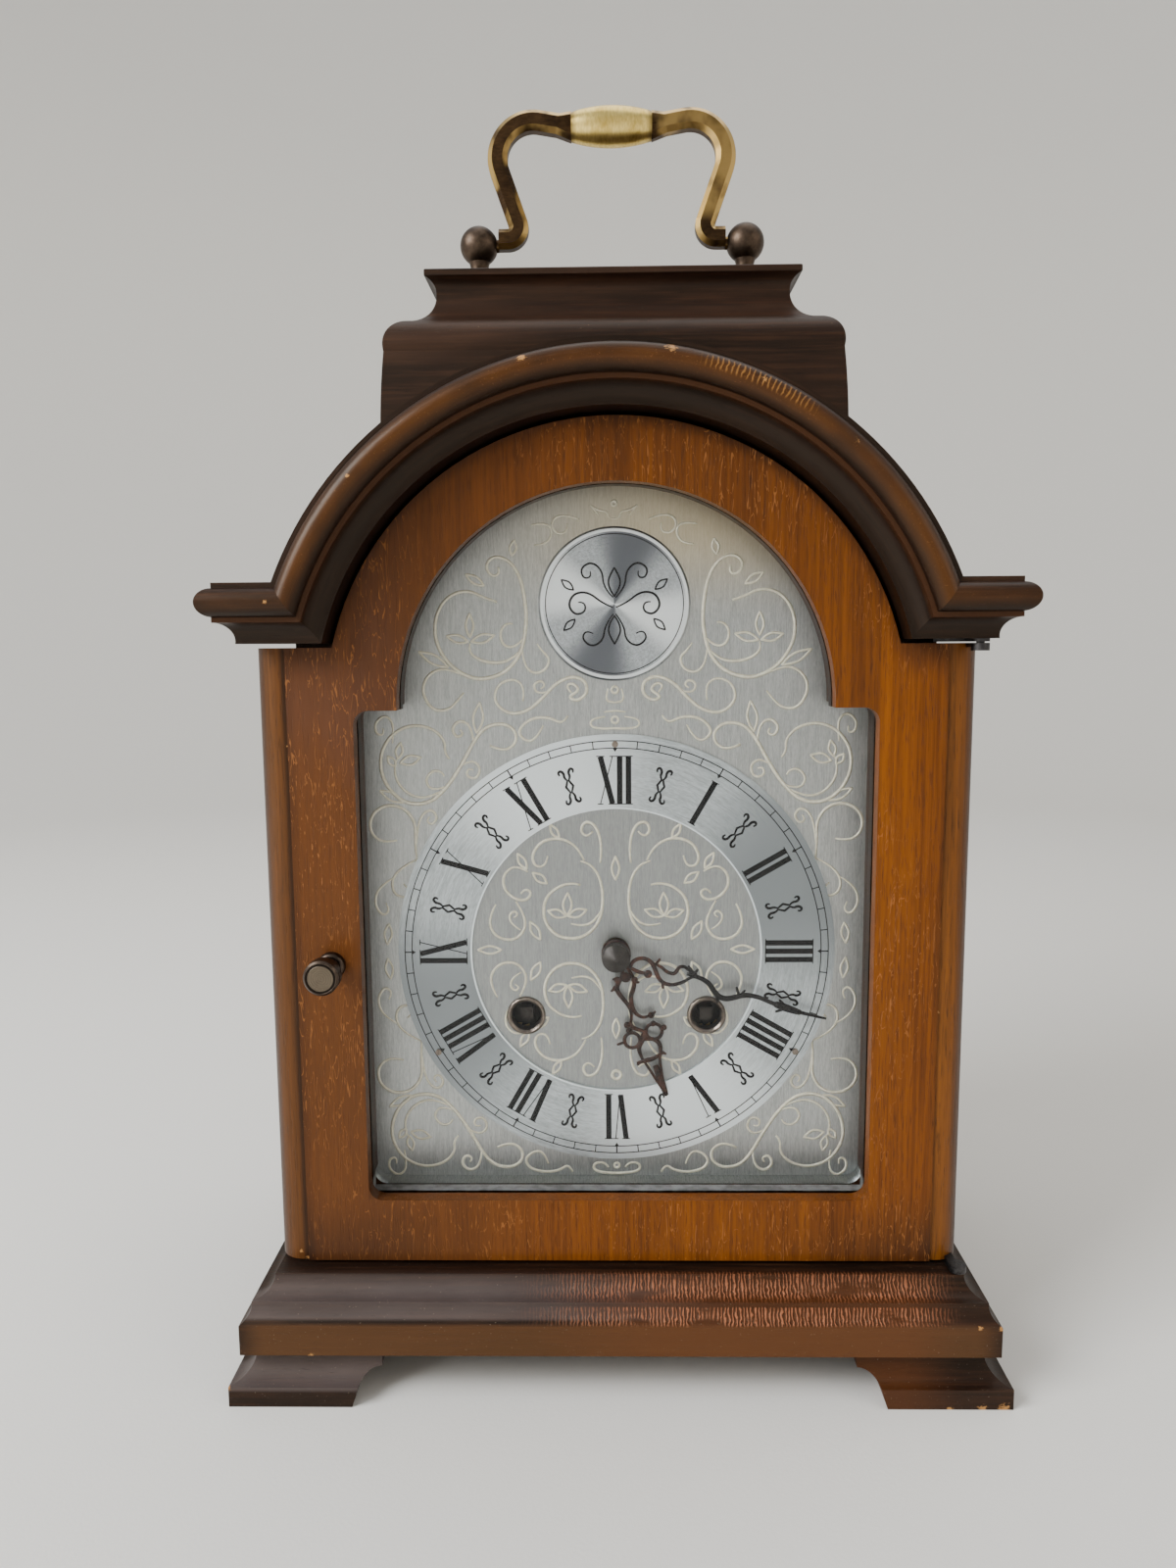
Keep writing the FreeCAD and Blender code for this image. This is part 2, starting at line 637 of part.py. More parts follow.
def make_case():
    """Front and rear frames, two sides between them, and the arched roof on the sides."""
    front = case_outline().prism("xz", FRAME_Y, CASE_Y)
    front = front.cut(window_outline(FRAME_OPENING_GROWTH, WINDOW_CORNER).prism("xz", FRAME_Y, CASE_Y))
    front = front.cut(window_outline(DIAL_REBATE_GROWTH).prism("xz", DIAL_Y, CASE_Y))
    front = front.cut(bar("y", CATCH_RADIUS, FRAME_Y, FRAME_Y + CATCH_DEPTH, -KNOB_X, DOOR_BOTTOM + KNOB_RISE))
    save("front_frame", front)

    rear = case_outline().prism("xz", REAR_FRAME_Y, BACK_Y)
    rear = rear.cut(rear_opening(-REAR_STOP_LAP).prism("xz", REAR_FRAME_Y, BACK_Y))
    rear = rear.cut(rear_opening(0).prism("xz", REAR_FRAME_Y + REAR_STOP_DEPTH, BACK_Y))
    for leaf in rear_frame_leaves():
        rear = rear.cut(leaf)
    save("rear_frame", rear)

    half = CASE_WIDTH / 2
    spring_z = EAR_TOP - ROOF_SPRING_BELOW_EAR
    side = box(half - CASE_WALL, half, CASE_Y, REAR_FRAME_Y, BASE_TOP, spring_z)
    save("case_sides", mirrored(side), side)

    roof = case_outline().prism("xz", CASE_Y, REAR_FRAME_Y)
    roof = roof.cut(bar("y", ROOF_RADIUS - ROOF_WALL, CASE_Y, REAR_FRAME_Y, 0, ARCH_Z))
    roof = roof.cut(box(-half, half, CASE_Y, REAR_FRAME_Y, BASE_TOP, spring_z))
    save("roof", roof)


def hood_steps(base):
    """The hood's moulding from its lower edge up: cove, bead, large half round and a set-back fillet."""
    bead_top = HOOD_COVE_HEIGHT + HOOD_BEAD_HEIGHT
    torus_top = bead_top + 2 * HOOD_TORUS_RADIUS
    return [(HOOD_EDGE_SPREAD, base, 0), (HOOD_COVE_SPREAD, base + HOOD_COVE_HEIGHT, -QUARTER_SHARE),
            (HOOD_BEAD_SPREAD, base + HOOD_COVE_HEIGHT, 0), (HOOD_BEAD_SPREAD, base + bead_top, 0),
            (HOOD_TORUS_SPREAD, base + bead_top, 0), (HOOD_TORUS_SPREAD, base + torus_top, HALF_SHARE),
            (HOOD_FILLET_SPREAD, base + torus_top, 0), (HOOD_FILLET_SPREAD, base + HOOD_HEIGHT, 0)]


def mitre_x(height):
    """Half the width at which the arch meets an ear, at a height above the moulding's lower edge."""
    return math.sqrt((HOOD_RADIUS + height) ** 2 - (EAR_Z - ARCH_Z + height) ** 2)


def make_hood():
    """The arch and its two ears, mitred where they meet. The ears return along the sides of the case."""
    low, middle, top = mitre_x(0), mitre_x(HOOD_HEIGHT / 2), mitre_x(HOOD_HEIGHT)
    reach = HOOD_RADIUS + HOOD_HEIGHT + OVERRUN
    region = Outline(-low, EAR_Z)
    region.through((-middle, EAR_Z + HOOD_HEIGHT / 2), (-top, EAR_TOP))
    region.line(-reach, EAR_TOP).line(-reach, ARCH_Z + reach).line(reach, ARCH_Z + reach).line(reach, EAR_TOP)
    region.line(top, EAR_TOP)
    region.through((middle, EAR_Z + HOOD_HEIGHT / 2), (low, EAR_Z))
    nose_y = DOOR_Y - HOOD_TORUS_SPREAD - HOOD_TORUS_RADIUS
    arch_side = region.prism("xz", nose_y - OVERRUN, FRAME_Y + OVERRUN)

    ring = moulded_profile(hood_steps(HOOD_RADIUS), DOOR_Y, FRAME_Y, False).turned("y", z=ARCH_Z)
    save("hood_arch", ring.common(arch_side))

    half = CASE_WIDTH / 2
    ears = moulded_block(hood_steps(EAR_Z), HOOD_WIDTH, DOOR_Y, BACK_Y).cut(arch_side)
    ears = ears.cut(box(-half, half, FRAME_Y, BACK_Y, EAR_Z, EAR_TOP))
    save("hood_ears", *ears.Solids)


def make_caddy():
    """The caddy stands on the roof: upright sides, a round shoulder, a hollow neck and an overhanging board."""
    foot_z = CADDY_SHOULDER_Z - CADDY_FOOT_BELOW_SHOULDER
    steps = [(0, foot_z, 0), (-CADDY_SHOULDER_INSET, CADDY_SHOULDER_Z, SLIGHT_SHARE),
             (-CADDY_SHOULDER_TOP_INSET, CADDY_SHOULDER_TOP_Z, QUARTER_SHARE),
             (-CADDY_NECK_INSET, CADDY_NECK_Z, -QUARTER_SHARE)]
    block = moulded_block(steps, CADDY_WIDTH, CADDY_Y, -CADDY_Y, True)
    block = block.cut(bar("y", ROOF_RADIUS, CADDY_Y - OVERRUN, OVERRUN - CADDY_Y, 0, ARCH_Z))

    edge_z = BOARD_Z + BOARD_BEVEL_HEIGHT
    round_z = edge_z + BOARD_EDGE_HEIGHT
    overhang = BOARD_OVERHANG - CADDY_NECK_INSET
    steps = [(-CADDY_NECK_INSET, BOARD_Z, 0), (overhang, edge_z, -SHALLOW_SHARE), (overhang, round_z, 0),
             (overhang - BOARD_ROUND_INSET, BOARD_TOP, QUARTER_SHARE)]
    board = moulded_block(steps, CADDY_WIDTH, CADDY_Y, -CADDY_Y, True)
    for x in (-BALL_X, BALL_X):
        stud = bar("z", POST_STUD_RADIUS, BOARD_TOP - POST_STUD_DEPTH, BOARD_TOP, x, 0)
        block = block.cut(stud)
        board = board.cut(stud)
    save("caddy_block", block)
    save("caddy_top_board", board)


def make_handle_posts():
    """Turned posts with ball heads, each bored from the inside for the pin of an arm."""
    ball_foot = math.sqrt(BALL_RADIUS ** 2 - POST_NECK_RADIUS ** 2)
    path = Outline(0, -POST_STUD_DEPTH).line(POST_STUD_RADIUS, -POST_STUD_DEPTH)
    path.line(POST_STUD_RADIUS, 0).line(POST_FOOT_RADIUS, 0)
    path.curve(POST_FOOT_RADIUS - POST_FOOT_HEIGHT / 2, POST_FOOT_HEIGHT, -QUARTER_SHARE)
    path.curve(POST_NECK_RADIUS, BALL_RISE - ball_foot, SHALLOW_SHARE)
    path.through((BALL_RADIUS, BALL_RISE), (0, BALL_RISE + BALL_RADIUS))
    post = path.turned("z", BALL_X, 0, BOARD_TOP)
    inner = BALL_X - BALL_RADIUS - HANDLE_END_GAP
    pin_end = inner + HANDLE_PIN_DEPTH + HANDLE_END_GAP
    post = post.cut(bar("x", HANDLE_PIN_RADIUS + BEARING_GAP, inner, pin_end, 0, BALL_Z))
    save("handle_posts", mirrored(post), post)


def arm_section(x, z, width, depth):
    """Eight-sided wire across the X axis: a bar with chamfered edges."""
    w, d, c = width / 2, depth / 2, ARM_CHAMFER
    corners = [(-d + c, -w), (d - c, -w), (d, -w + c), (d, w - c), (d - c, w), (-d + c, w), (-d, w - c), (-d, -w + c)]
    points = [V(x, across, z + up) for across, up in corners]
    return Part.makePolygon(points + points[:1])


def circle_point(centre, radius, angle):
    return centre + V(math.cos(angle), 0, math.sin(angle)) * radius


def make_handle():
    """Two bent arms with chamfered edges. Each ends in a pin in its ball, and flares where it meets the grip."""
    start = V(BALL_X - BALL_RADIUS - HANDLE_END_GAP, 0, BALL_Z + ARM_OFFSET)
    bend_centre = V(ARM_BEND_X, 0, start.z + ARM_BEND_RADIUS)
    top_centre = V(ARM_TOP_X, 0, BALL_Z + ARM_TOP_RISE)
    end = V(ARM_END_X, 0, BALL_Z + ARM_END_RISE)
    between = top_centre - bend_centre
    lean = math.acos((ARM_BEND_RADIUS + ARM_TOP_RADIUS) / between.Length)
    touch = math.atan2(between.z, between.x) + lean
    below = 3 * math.pi / 2
    bend = [circle_point(bend_centre, ARM_BEND_RADIUS, angle) for angle in (below, (below + touch) / 2, touch)]
    reach = end - top_centre
    over = math.atan2(reach.z, reach.x) - math.acos(ARM_TOP_RADIUS / reach.Length)
    rise = touch - math.pi
    top = [circle_point(top_centre, ARM_TOP_RADIUS, angle) for angle in (rise, (rise + over) / 2, over)]
    path = Part.Wire([Part.LineSegment(start, bend[0]).toShape(), Part.Arc(*bend).toShape(),
                      Part.LineSegment(bend[2], top[0]).toShape(), Part.Arc(*top).toShape(),
                      Part.LineSegment(top[2], end).toShape()])
    arm = path.makePipeShell([arm_section(start.x, start.z, ARM_WIDTH, ARM_DEPTH)], True, False)
    slope = (end.z - top[2].z) / (end.x - top[2].x)
    grip_end = GRIP_LENGTH / 2
    flare_start = arm_section(end.x, end.z, ARM_WIDTH, ARM_DEPTH)
    flare_end = arm_section(grip_end, BALL_Z + GRIP_RISE, ARM_END_HEIGHT, ARM_END_DEPTH)
    flare_start.rotate(end, V(0, 1, 0), -math.degrees(math.atan(slope)))
    flare = Part.makeLoft([flare_start, flare_end], True, True)
    pin_end = start.x + HANDLE_END_GAP + HANDLE_PIN_DEPTH - FITTED_GAP
    pin = bar("x", HANDLE_PIN_RADIUS, start.x, pin_end, 0, BALL_Z)
    arm = joined([arm, flare, pin])
    save("handle_arms", mirrored(arm), arm)

    grip = Outline(-grip_end, 0).line(-grip_end, GRIP_END_RADIUS)
    grip.through((0, GRIP_RADIUS), (grip_end, GRIP_END_RADIUS)).line(grip_end, 0)
    save("handle_grip", grip.turned("x", z=BALL_Z + GRIP_RISE))


def hinge_leaf(low, high):
    """A flat leaf from the pivot of the front door, back to where its screws are."""
    back = DOOR_Y + LEAF_INSET + LEAF_DEPTH
    pivot_y = DOOR_Y - HINGE_AHEAD_OF_DOOR
    leaf = box(HINGE_X - LEAF_LENGTH, HINGE_X, DOOR_Y + LEAF_INSET, back, low, high)
    neck = box(HINGE_X - KNUCKLE_RADIUS, HINGE_X, pivot_y, back, low, high)
    return joined([leaf, neck, bar("z", KNUCKLE_RADIUS, low, high, HINGE_X, pivot_y)])


def ledge_leaf():
    """The lower case leaf, let into the ledge and trimmed inside its edges."""
    inside = box(0, LEDGE_WIDTH / 2 - LEDGE_MARGIN, LEDGE_Y + LEDGE_MARGIN, BACK_Y, 0, BASE_TOP)
    return hinge_leaf(BASE_TOP - LEAF_THICKNESS, BASE_TOP).common(inside)


def make_hinges():
    """Pivot hinges: the case leaves carry the pins, the door leaves turn on them."""
    pivot_y = DOOR_Y - HINGE_AHEAD_OF_DOOR
    lower_knuckle_z = BASE_TOP + FITTED_GAP
    lower_leaf_top = DOOR_BOTTOM + LEAF_THICKNESS
    upper_knuckle_z = SHOULDER_Z - DOOR_KNUCKLE_HEIGHT
    case_lower = joined([ledge_leaf(), bar("z", HINGE_PIN_RADIUS, BASE_TOP, lower_leaf_top, HINGE_X, pivot_y)])
    case_upper = joined([hinge_leaf(EAR_Z - UPPER_LEAF_THICKNESS, EAR_Z),
                         bar("z", HINGE_PIN_RADIUS, upper_knuckle_z, EAR_Z, HINGE_X, pivot_y)])
    save("case_hinge_leaves", case_lower, case_upper)

    bore = bar("z", HINGE_PIN_RADIUS + BEARING_GAP, BASE_TOP, EAR_Z, HINGE_X, pivot_y)
    lower = joined([hinge_leaf(DOOR_BOTTOM, lower_leaf_top),
                    bar("z", KNUCKLE_RADIUS, lower_knuckle_z, lower_leaf_top, HINGE_X, pivot_y)])
    upper = joined([hinge_leaf(SHOULDER_Z - LEAF_THICKNESS, SHOULDER_Z),
                    bar("z", KNUCKLE_RADIUS, upper_knuckle_z, SHOULDER_Z, HINGE_X, pivot_y)])
    save("door_hinge_leaves", lower.cut(bore), upper.cut(bore))


def door_recesses(shape):
    """Cut the seats of the two door leaves."""
    shape = shape.cut(hinge_leaf(DOOR_BOTTOM, DOOR_BOTTOM + LEAF_THICKNESS))
    return shape.cut(hinge_leaf(SHOULDER_Z - LEAF_THICKNESS, SHOULDER_Z))


def make_door():
    """Arched frame with a rebated window, ovolo mouldings down both sides, glass and its retaining strip."""
    knob_z = DOOR_BOTTOM + KNOB_RISE
    glass_y = DOOR_Y + GLASS_INSET
    glass_back = glass_y + GLASS_THICKNESS
    stud_depth = DOOR_THICKNESS - GLASS_INSET
    frame = break_arch(DOOR_PANEL_WIDTH, DOOR_BOTTOM, SHOULDER_Z, ARCH_Z, DOOR_ARCH_RADIUS)
    frame = frame.prism("xz", DOOR_Y, DOOR_BACK_Y)
    frame = frame.cut(window_outline(0, WINDOW_CORNER).prism("xz", DOOR_Y, glass_y))
    frame = frame.cut(window_outline(GLASS_LAP).prism("xz", glass_y, DOOR_BACK_Y))
    frame = frame.cut(bar("y", KNOB_STUD_RADIUS, DOOR_Y, DOOR_Y + stud_depth, -KNOB_X, knob_z))
    strike = box(-KNOB_X - STRIKE_WIDTH / 2, -KNOB_X + STRIKE_WIDTH / 2, DOOR_BACK_Y - STRIKE_THICKNESS,
                 DOOR_BACK_Y, knob_z - STRIKE_HEIGHT / 2, knob_z + STRIKE_HEIGHT / 2)
    save("door_frame", door_recesses(frame.cut(strike)))
    save("door_strike_plate", strike.cut(bar("y", CATCH_BALL_RADIUS, DOOR_BACK_Y - STRIKE_THICKNESS, DOOR_BACK_Y,
                                             -KNOB_X, knob_z)))

    inner, outer = DOOR_PANEL_WIDTH / 2, DOOR_WIDTH / 2
    section = Outline(inner, DOOR_Y + DOOR_STEP)
    section.curve(outer, DOOR_Y + DOOR_STEP + DOOR_OVOLO_DEPTH, -QUARTER_SHARE)
    section.line(outer, DOOR_BACK_Y).line(inner, DOOR_BACK_Y)
    moulding = section.prism("xy", DOOR_BOTTOM, SHOULDER_Z)
    save("door_left_moulding", mirrored(moulding))
    save("door_right_moulding", door_recesses(moulding))

    inside = GLASS_LAP - FITTED_GAP
    save("door_glass", window_outline(inside).prism("xz", glass_y, glass_back))
    strip = window_outline(inside).prism("xz", glass_back, glass_back + RETAINER_DEPTH)
    save("glass_retainer", strip.cut(window_outline(0).prism("xz", glass_back, glass_back + RETAINER_DEPTH)))

    neck_end = KNOB_HEAD_LENGTH - KNOB_LENGTH
    knob = Outline(stud_depth, 0).line(stud_depth, KNOB_STUD_RADIUS).line(0, KNOB_STUD_RADIUS)
    knob.line(0, KNOB_FOOT_RADIUS).line(-KNOB_FOOT_LENGTH, KNOB_FOOT_RADIUS)
    knob.curve(-2 * KNOB_FOOT_LENGTH, KNOB_NECK_RADIUS, -QUARTER_SHARE).line(neck_end, KNOB_NECK_RADIUS)
    knob.line(neck_end, KNOB_RADIUS).line(KNOB_DOME - KNOB_LENGTH, KNOB_RADIUS)
    knob.line(-KNOB_LENGTH, KNOB_RADIUS - KNOB_DOME).line(-KNOB_LENGTH, 0)
    save("door_knob", knob.turned("y", -KNOB_X, DOOR_Y, knob_z))

    catch = bar("y", CATCH_RADIUS, FRAME_Y, FRAME_Y + CATCH_DEPTH, -KNOB_X, knob_z)
    ball = Part.makeSphere(CATCH_BALL_RADIUS, V(-KNOB_X, FRAME_Y + CATCH_BALL_RADIUS - CATCH_STAND, knob_z))
    save("door_catch", joined([catch, ball]))


def make_dial():
    """Brushed plate with its feet, chapter ring on three pins, medallion in the arch, and winding grommets."""
    plate = window_outline(DIAL_LAP).prism("xz", DIAL_Y, DIAL_BACK_Y)
    feet = [bar("y", DIAL_FOOT_RADIUS, DIAL_BACK_Y, PLATE_FRONT_Y, x, DIAL_Z + rise)
            for x in (-DIAL_FOOT_X, DIAL_FOOT_X) for rise in (-DIAL_FOOT_RISE, DIAL_FOOT_RISE)]
    plate = joined([plate] + feet)
    plate = plate.cut(bar("y", DIAL_CENTRE_HOLE_RADIUS, DIAL_Y, DIAL_BACK_Y, 0, DIAL_Z))
    for x in (-WINDING_X, WINDING_X):
        plate = plate.cut(bar("y", GROMMET_TUBE_RADIUS, DIAL_Y, DIAL_BACK_Y, x, WINDING_Z))
    save("dial_plate", plate)

    ring_y = DIAL_Y - RING_THICKNESS
    save("chapter_ring", tube("y", RING_OUTER_RADIUS, RING_INNER_RADIUS, ring_y, DIAL_Y, 0, DIAL_Z))
    pins = []
    for angle in RING_PIN_ANGLES:
        place = circle_point(V(0, 0, DIAL_Z), RING_PIN_CIRCLE, math.radians(angle))
        pins.append(bar("y", RING_PIN_RADIUS, ring_y - RING_PIN_HEIGHT, ring_y, place.x, place.z))
    save("ring_pins", *pins)

    disc = Outline(0, 0).line(0, MEDALLION_RADIUS).line(MEDALLION_BEVEL - RING_THICKNESS, MEDALLION_RADIUS)
    disc.line(-RING_THICKNESS, MEDALLION_RADIUS - MEDALLION_BEVEL).line(-RING_THICKNESS, 0)
    save("medallion", disc.turned("y", 0, DIAL_Y, DOOR_BOTTOM + MEDALLION_RISE))

    rim = Outline(0, GROMMET_TUBE_RADIUS).line(0, GROMMET_RADIUS)
    rim.curve(-GROMMET_FLANGE_HEIGHT, GROMMET_TUBE_RADIUS, -QUARTER_SHARE)
    rim.line(-GROMMET_FLANGE_HEIGHT / 2, GROMMET_BORE_RADIUS).line(GROMMET_TUBE_LENGTH, GROMMET_BORE_RADIUS)
    rim.line(GROMMET_TUBE_LENGTH, GROMMET_TUBE_RADIUS)
    save("winding_grommets", *[rim.turned("y", x, DIAL_Y, WINDING_Z) for x in (-WINDING_X, WINDING_X)])


def stroke(points, width, low, high):
    """A flat band of even width along a chain of (u, v, bulge) points, with round joints."""
    pieces = []
    for (u0, v0, _), (u1, v1, bulge_share) in zip(points, points[1:]):
        run = math.dist((u0, v0), (u1, v1))
        left = (-(v1 - v0) / run, (u1 - u0) / run)
        ends = ((u0, v0), (u1, v1))
        if bulge_share == 0:
            sides = [[(u + left[0] * side, v + left[1] * side) for u, v in ends] for side in (width / 2, -width / 2)]
            band = Outline(*sides[0][0]).line(*sides[0][1]).line(*sides[1][1]).line(*sides[1][0])
        else:
            sagitta = bulge_share * run
            radius = (run ** 2 / 4 + sagitta ** 2) / (2 * sagitta)
            middle = ((u0 + u1) / 2 + left[0] * sagitta, (v0 + v1) / 2 + left[1] * sagitta)
            centre = (middle[0] - left[0] * radius, middle[1] - left[1] * radius)
            sides = []
            for side in (width / 2, -width / 2):
                scale = 1 + side / radius
                sides.append([(centre[0] + (u - centre[0]) * scale, centre[1] + (v - centre[1]) * scale)
                              for u, v in (ends[0], middle, ends[1])])
            band = Outline(*sides[0][0]).through(sides[0][1], sides[0][2])
            band.line(*sides[1][2]).through(sides[1][1], sides[1][0])
        pieces.append(band.prism("xz", low, high))
    pieces += [bar("y", width / 2, low, high, u, v) for u, v, _ in points]
    return pieces


def ringlet(u, v, radius, low, high):
    return tube("y", radius, radius - HAND_STROKE, low, high, u, v)


def barb(u, v, tip_u, tip_v, low, high):
    """A small pointed leaf on a hand, from its root at u, v to its tip."""
    run = math.dist((u, v), (tip_u, tip_v))
    side_u, side_v = -(tip_v - v) / run * HAND_STROKE, (tip_u - u) / run * HAND_STROKE
    return Outline(u + side_u, v + side_v).line(tip_u, tip_v).line(u - side_u, v - side_v).prism("xz", low, high)


def set_hand(pieces, bore, angle):
    hand = joined(pieces).cut(bore)
    hand = turned_about_y(hand, angle)
    hand.translate(V(0, 0, DIAL_Z))
    return hand


def pointed_tip(half_width, root, tip, low, high):
    return Outline(-half_width, root).line(0, tip).line(half_width, root).prism("xz", low, high)


def make_hands():
    """Pierced hour and minute hands in sheet metal, and the nut that holds them."""
    low, high = HOUR_HAND_Y - HAND_THICKNESS, HOUR_HAND_Y
    pieces = [bar("y", HAND_BOSS_RADIUS, low, high)]
    for side in (-1, 1):
        pieces += stroke([(side * u, v, -side * bulge_share) for u, v, bulge_share in HOUR_BAR], HAND_STROKE, low, high)
    pieces += [ringlet(u, v, radius, low, high) for u, v, radius in HOUR_RINGS]
    pieces += stroke(HOUR_STEM, HAND_STROKE, low, high)
    pieces += [barb(*points, low, high) for points in HOUR_BARBS]
    pieces.append(pointed_tip(HOUR_TIP, HOUR_TIP_FROM, HOUR_HAND_LENGTH, low, high))
    bore = bar("y", CANNON_PIPE_RADIUS + BEARING_GAP + HOUR_PIPE_WALL, low, high)
    save("hour_hand", set_hand(pieces, bore, HOUR_HAND_ANGLE))

    low, high = NUT_Y, MINUTE_HAND_Y
    pieces = [bar("y", HAND_BOSS_RADIUS, low, high)]
    for line in (MINUTE_NECK, MINUTE_LOOP, MINUTE_BLADE):
        pieces += stroke(line, HAND_STROKE, low, high)
    u, v, radius = MINUTE_NODE
    pieces += [ringlet(*MINUTE_RING, low, high), bar("y", radius, low, high, u, v)]
    pieces += [barb(*points, low, high) for points in MINUTE_BARBS]
    pieces.append(pointed_tip(MINUTE_TIP, MINUTE_TIP_FROM, MINUTE_HAND_LENGTH, low, high))
    save("minute_hand", set_hand(pieces, bar("y", CANNON_END_RADIUS, low, high), MINUTE_HAND_ANGLE))

    groove_end = -NUT_COLLAR_LENGTH - NUT_GROOVE
    bore_end = NUT_CONE_LENGTH - NUT_LENGTH
    nut = Outline(0, CANNON_END_RADIUS).line(0, NUT_RADIUS).line(-NUT_COLLAR_LENGTH, NUT_RADIUS)
    nut.line(-NUT_COLLAR_LENGTH, NUT_RADIUS - NUT_GROOVE).line(groove_end, NUT_RADIUS - NUT_GROOVE)
    nut.line(groove_end, NUT_RADIUS).line(bore_end, NUT_RADIUS).line(-NUT_LENGTH, NUT_TIP_RADIUS)
    nut.line(-NUT_LENGTH, 0).line(bore_end, 0).line(bore_end, CANNON_END_RADIUS)
    save("hand_nut", nut.turned("y", 0, NUT_Y, DIAL_Z))


def toothed(teeth, module, low, high, phase, place):
    """A disc with pointed teeth at even steps from the phase, across the Y axis."""
    radius, step = teeth * module / 2, 2 * math.pi / teeth
    tip, root = radius + ADDENDUM_SHARE * module, radius - DEDENDUM_SHARE * module
    gap_at_tip = (1 - TOOTH_SHARE) * (ADDENDUM_SHARE + DEDENDUM_SHARE) / DEDENDUM_SHARE
    land = step / 2 * (1 - gap_at_tip)
    points = []
    for tooth in range(teeth):
        middle = step * (tooth + phase)
        for reach, angle in ((tip, middle - land), (tip, middle + land), (root, middle + step / 2)):
            points.append(beside(place, reach, angle))
    return closed(points).prism("xz", low, high)


def sawtoothed(teeth, radius, depth, low, high, place):
    """A disc with one-sided teeth, for the ratchets and the escape wheel."""
    points = [beside(place, reach, 2 * math.pi * tooth / teeth) for tooth in range(teeth)
              for reach in (radius - depth, radius)]
    return closed(points).prism("xz", low, high)


def beside(place, distance, angle):
    return place[0] + distance * math.cos(angle), place[1] + distance * math.sin(angle)


def closed(points):
    path = Outline(*points[0])
    for point in points[1:]:
        path.line(*point)
    return path


def crossed(teeth, module, low, phase, place):
    """A toothed wheel with a hub and four spokes."""
    high = low + WHEEL_THICKNESS
    x, z = place
    inside, half = RIM_SHARE * teeth * module / 2, SPOKE_WIDTH / 2
    spokes = joined([box(x - inside, x + inside, low, high, z - half, z + half),
                     box(x - half, x + half, low, high, z - inside, z + inside),
                     bar("y", HUB_RADIUS, low, high, *place)])
    openings = bar("y", inside, low, high, *place).cut(spokes)
    return toothed(teeth, module, low, high, phase, place).cut(openings)


def pinion(teeth, module, wheel_y, phase, place):
    """A pinion that overlaps its wheel on both sides."""
    return toothed(teeth, module, wheel_y - PINION_OVERLAP, wheel_y + WHEEL_THICKNESS + PINION_OVERLAP, phase, place)


def arbor(place, high=BACK_PLATE_Y):
    """A steel arbor that turns between two plates on thinner pivots."""
    return joined([bar("y", ARBOR_RADIUS, PLATE_INNER_Y + FITTED_GAP, high - FITTED_GAP, *place),
                   bar("y", PIVOT_RADIUS, PLATE_INNER_Y - PIVOT_LENGTH, high + PIVOT_LENGTH, *place)])


def heading(start, end):
    return math.atan2(end[1] - start[1], end[0] - start[0])


def meshed_phase(teeth, driver_teeth, start, end):
    """The phase that puts a gap of this wheel on a tooth of its driver, whose own phase is zero."""
    turn = heading(start, end) / (2 * math.pi)
    return (turn + HALF_SHARE) * teeth - HALF_SHARE + turn * driver_teeth


def crossing(first, reach, second, second_reach):
    """The place at two distances from two places, on the left on the way from the first to the second."""
    run = math.dist(first, second)
    along = (run ** 2 + reach ** 2 - second_reach ** 2) / (2 * run)
    across = math.sqrt(reach ** 2 - along ** 2)
    u, v = (second[0] - first[0]) / run, (second[1] - first[1]) / run
    return first[0] + u * along - v * across, first[1] + v * along + u * across


# Arbors of the movement, as places on the plates
CENTRE = (0, DIAL_Z)
GOING = (WINDING_X, WINDING_Z)
STRIKE = (-WINDING_X, WINDING_Z)
GREAT_DISTANCE = GREAT_MODULE * (GREAT_TEETH + GREAT_PINION_TEETH) / 2
MINUTE_DISTANCE = MINUTE_MODULE * (CANNON_TEETH + MINUTE_WHEEL_TEETH) / 2
HOUR_MODULE = 2 * MINUTE_DISTANCE / (MINUTE_PINION_TEETH + HOUR_TEETH)
MINUTE_POST = (0, DIAL_Z + MINUTE_DISTANCE)
INTERMEDIATE = crossing(CENTRE, INTERMEDIATE_MODULE * (INTERMEDIATE_TEETH + CENTRE_PINION_TEETH) / 2,
                        GOING, GREAT_DISTANCE)
THIRD = beside(CENTRE, CENTRE_MODULE * (CENTRE_TEETH + THIRD_PINION_TEETH) / 2, math.radians(THIRD_DIRECTION))
ESCAPE_DISTANCE = THIRD_MODULE * (THIRD_TEETH + ESCAPE_PINION_TEETH) / 2
ESCAPE = (0, THIRD[1] + math.sqrt(ESCAPE_DISTANCE ** 2 - THIRD[0] ** 2))
PALLET = (0, ESCAPE[1] + ESCAPE_RADIUS * PALLET_RISE_SHARE)
PIN_WHEEL = beside(STRIKE, GREAT_DISTANCE, math.radians(PIN_WHEEL_DIRECTION))
FLY = beside(PIN_WHEEL, PIN_WHEEL_MODULE * (PIN_WHEEL_TEETH + FLY_PINION_TEETH) / 2, math.radians(FLY_DIRECTION))
HAMMER = (HAMMER_X, HAMMER_Z)
PILLARS = [(side * (PLATE_WIDTH / 2 - PILLAR_INSET), z) for side in (-1, 1)
           for z in (PLATE_BOTTOM + PILLAR_INSET, PLATE_TOP - PILLAR_INSET)]


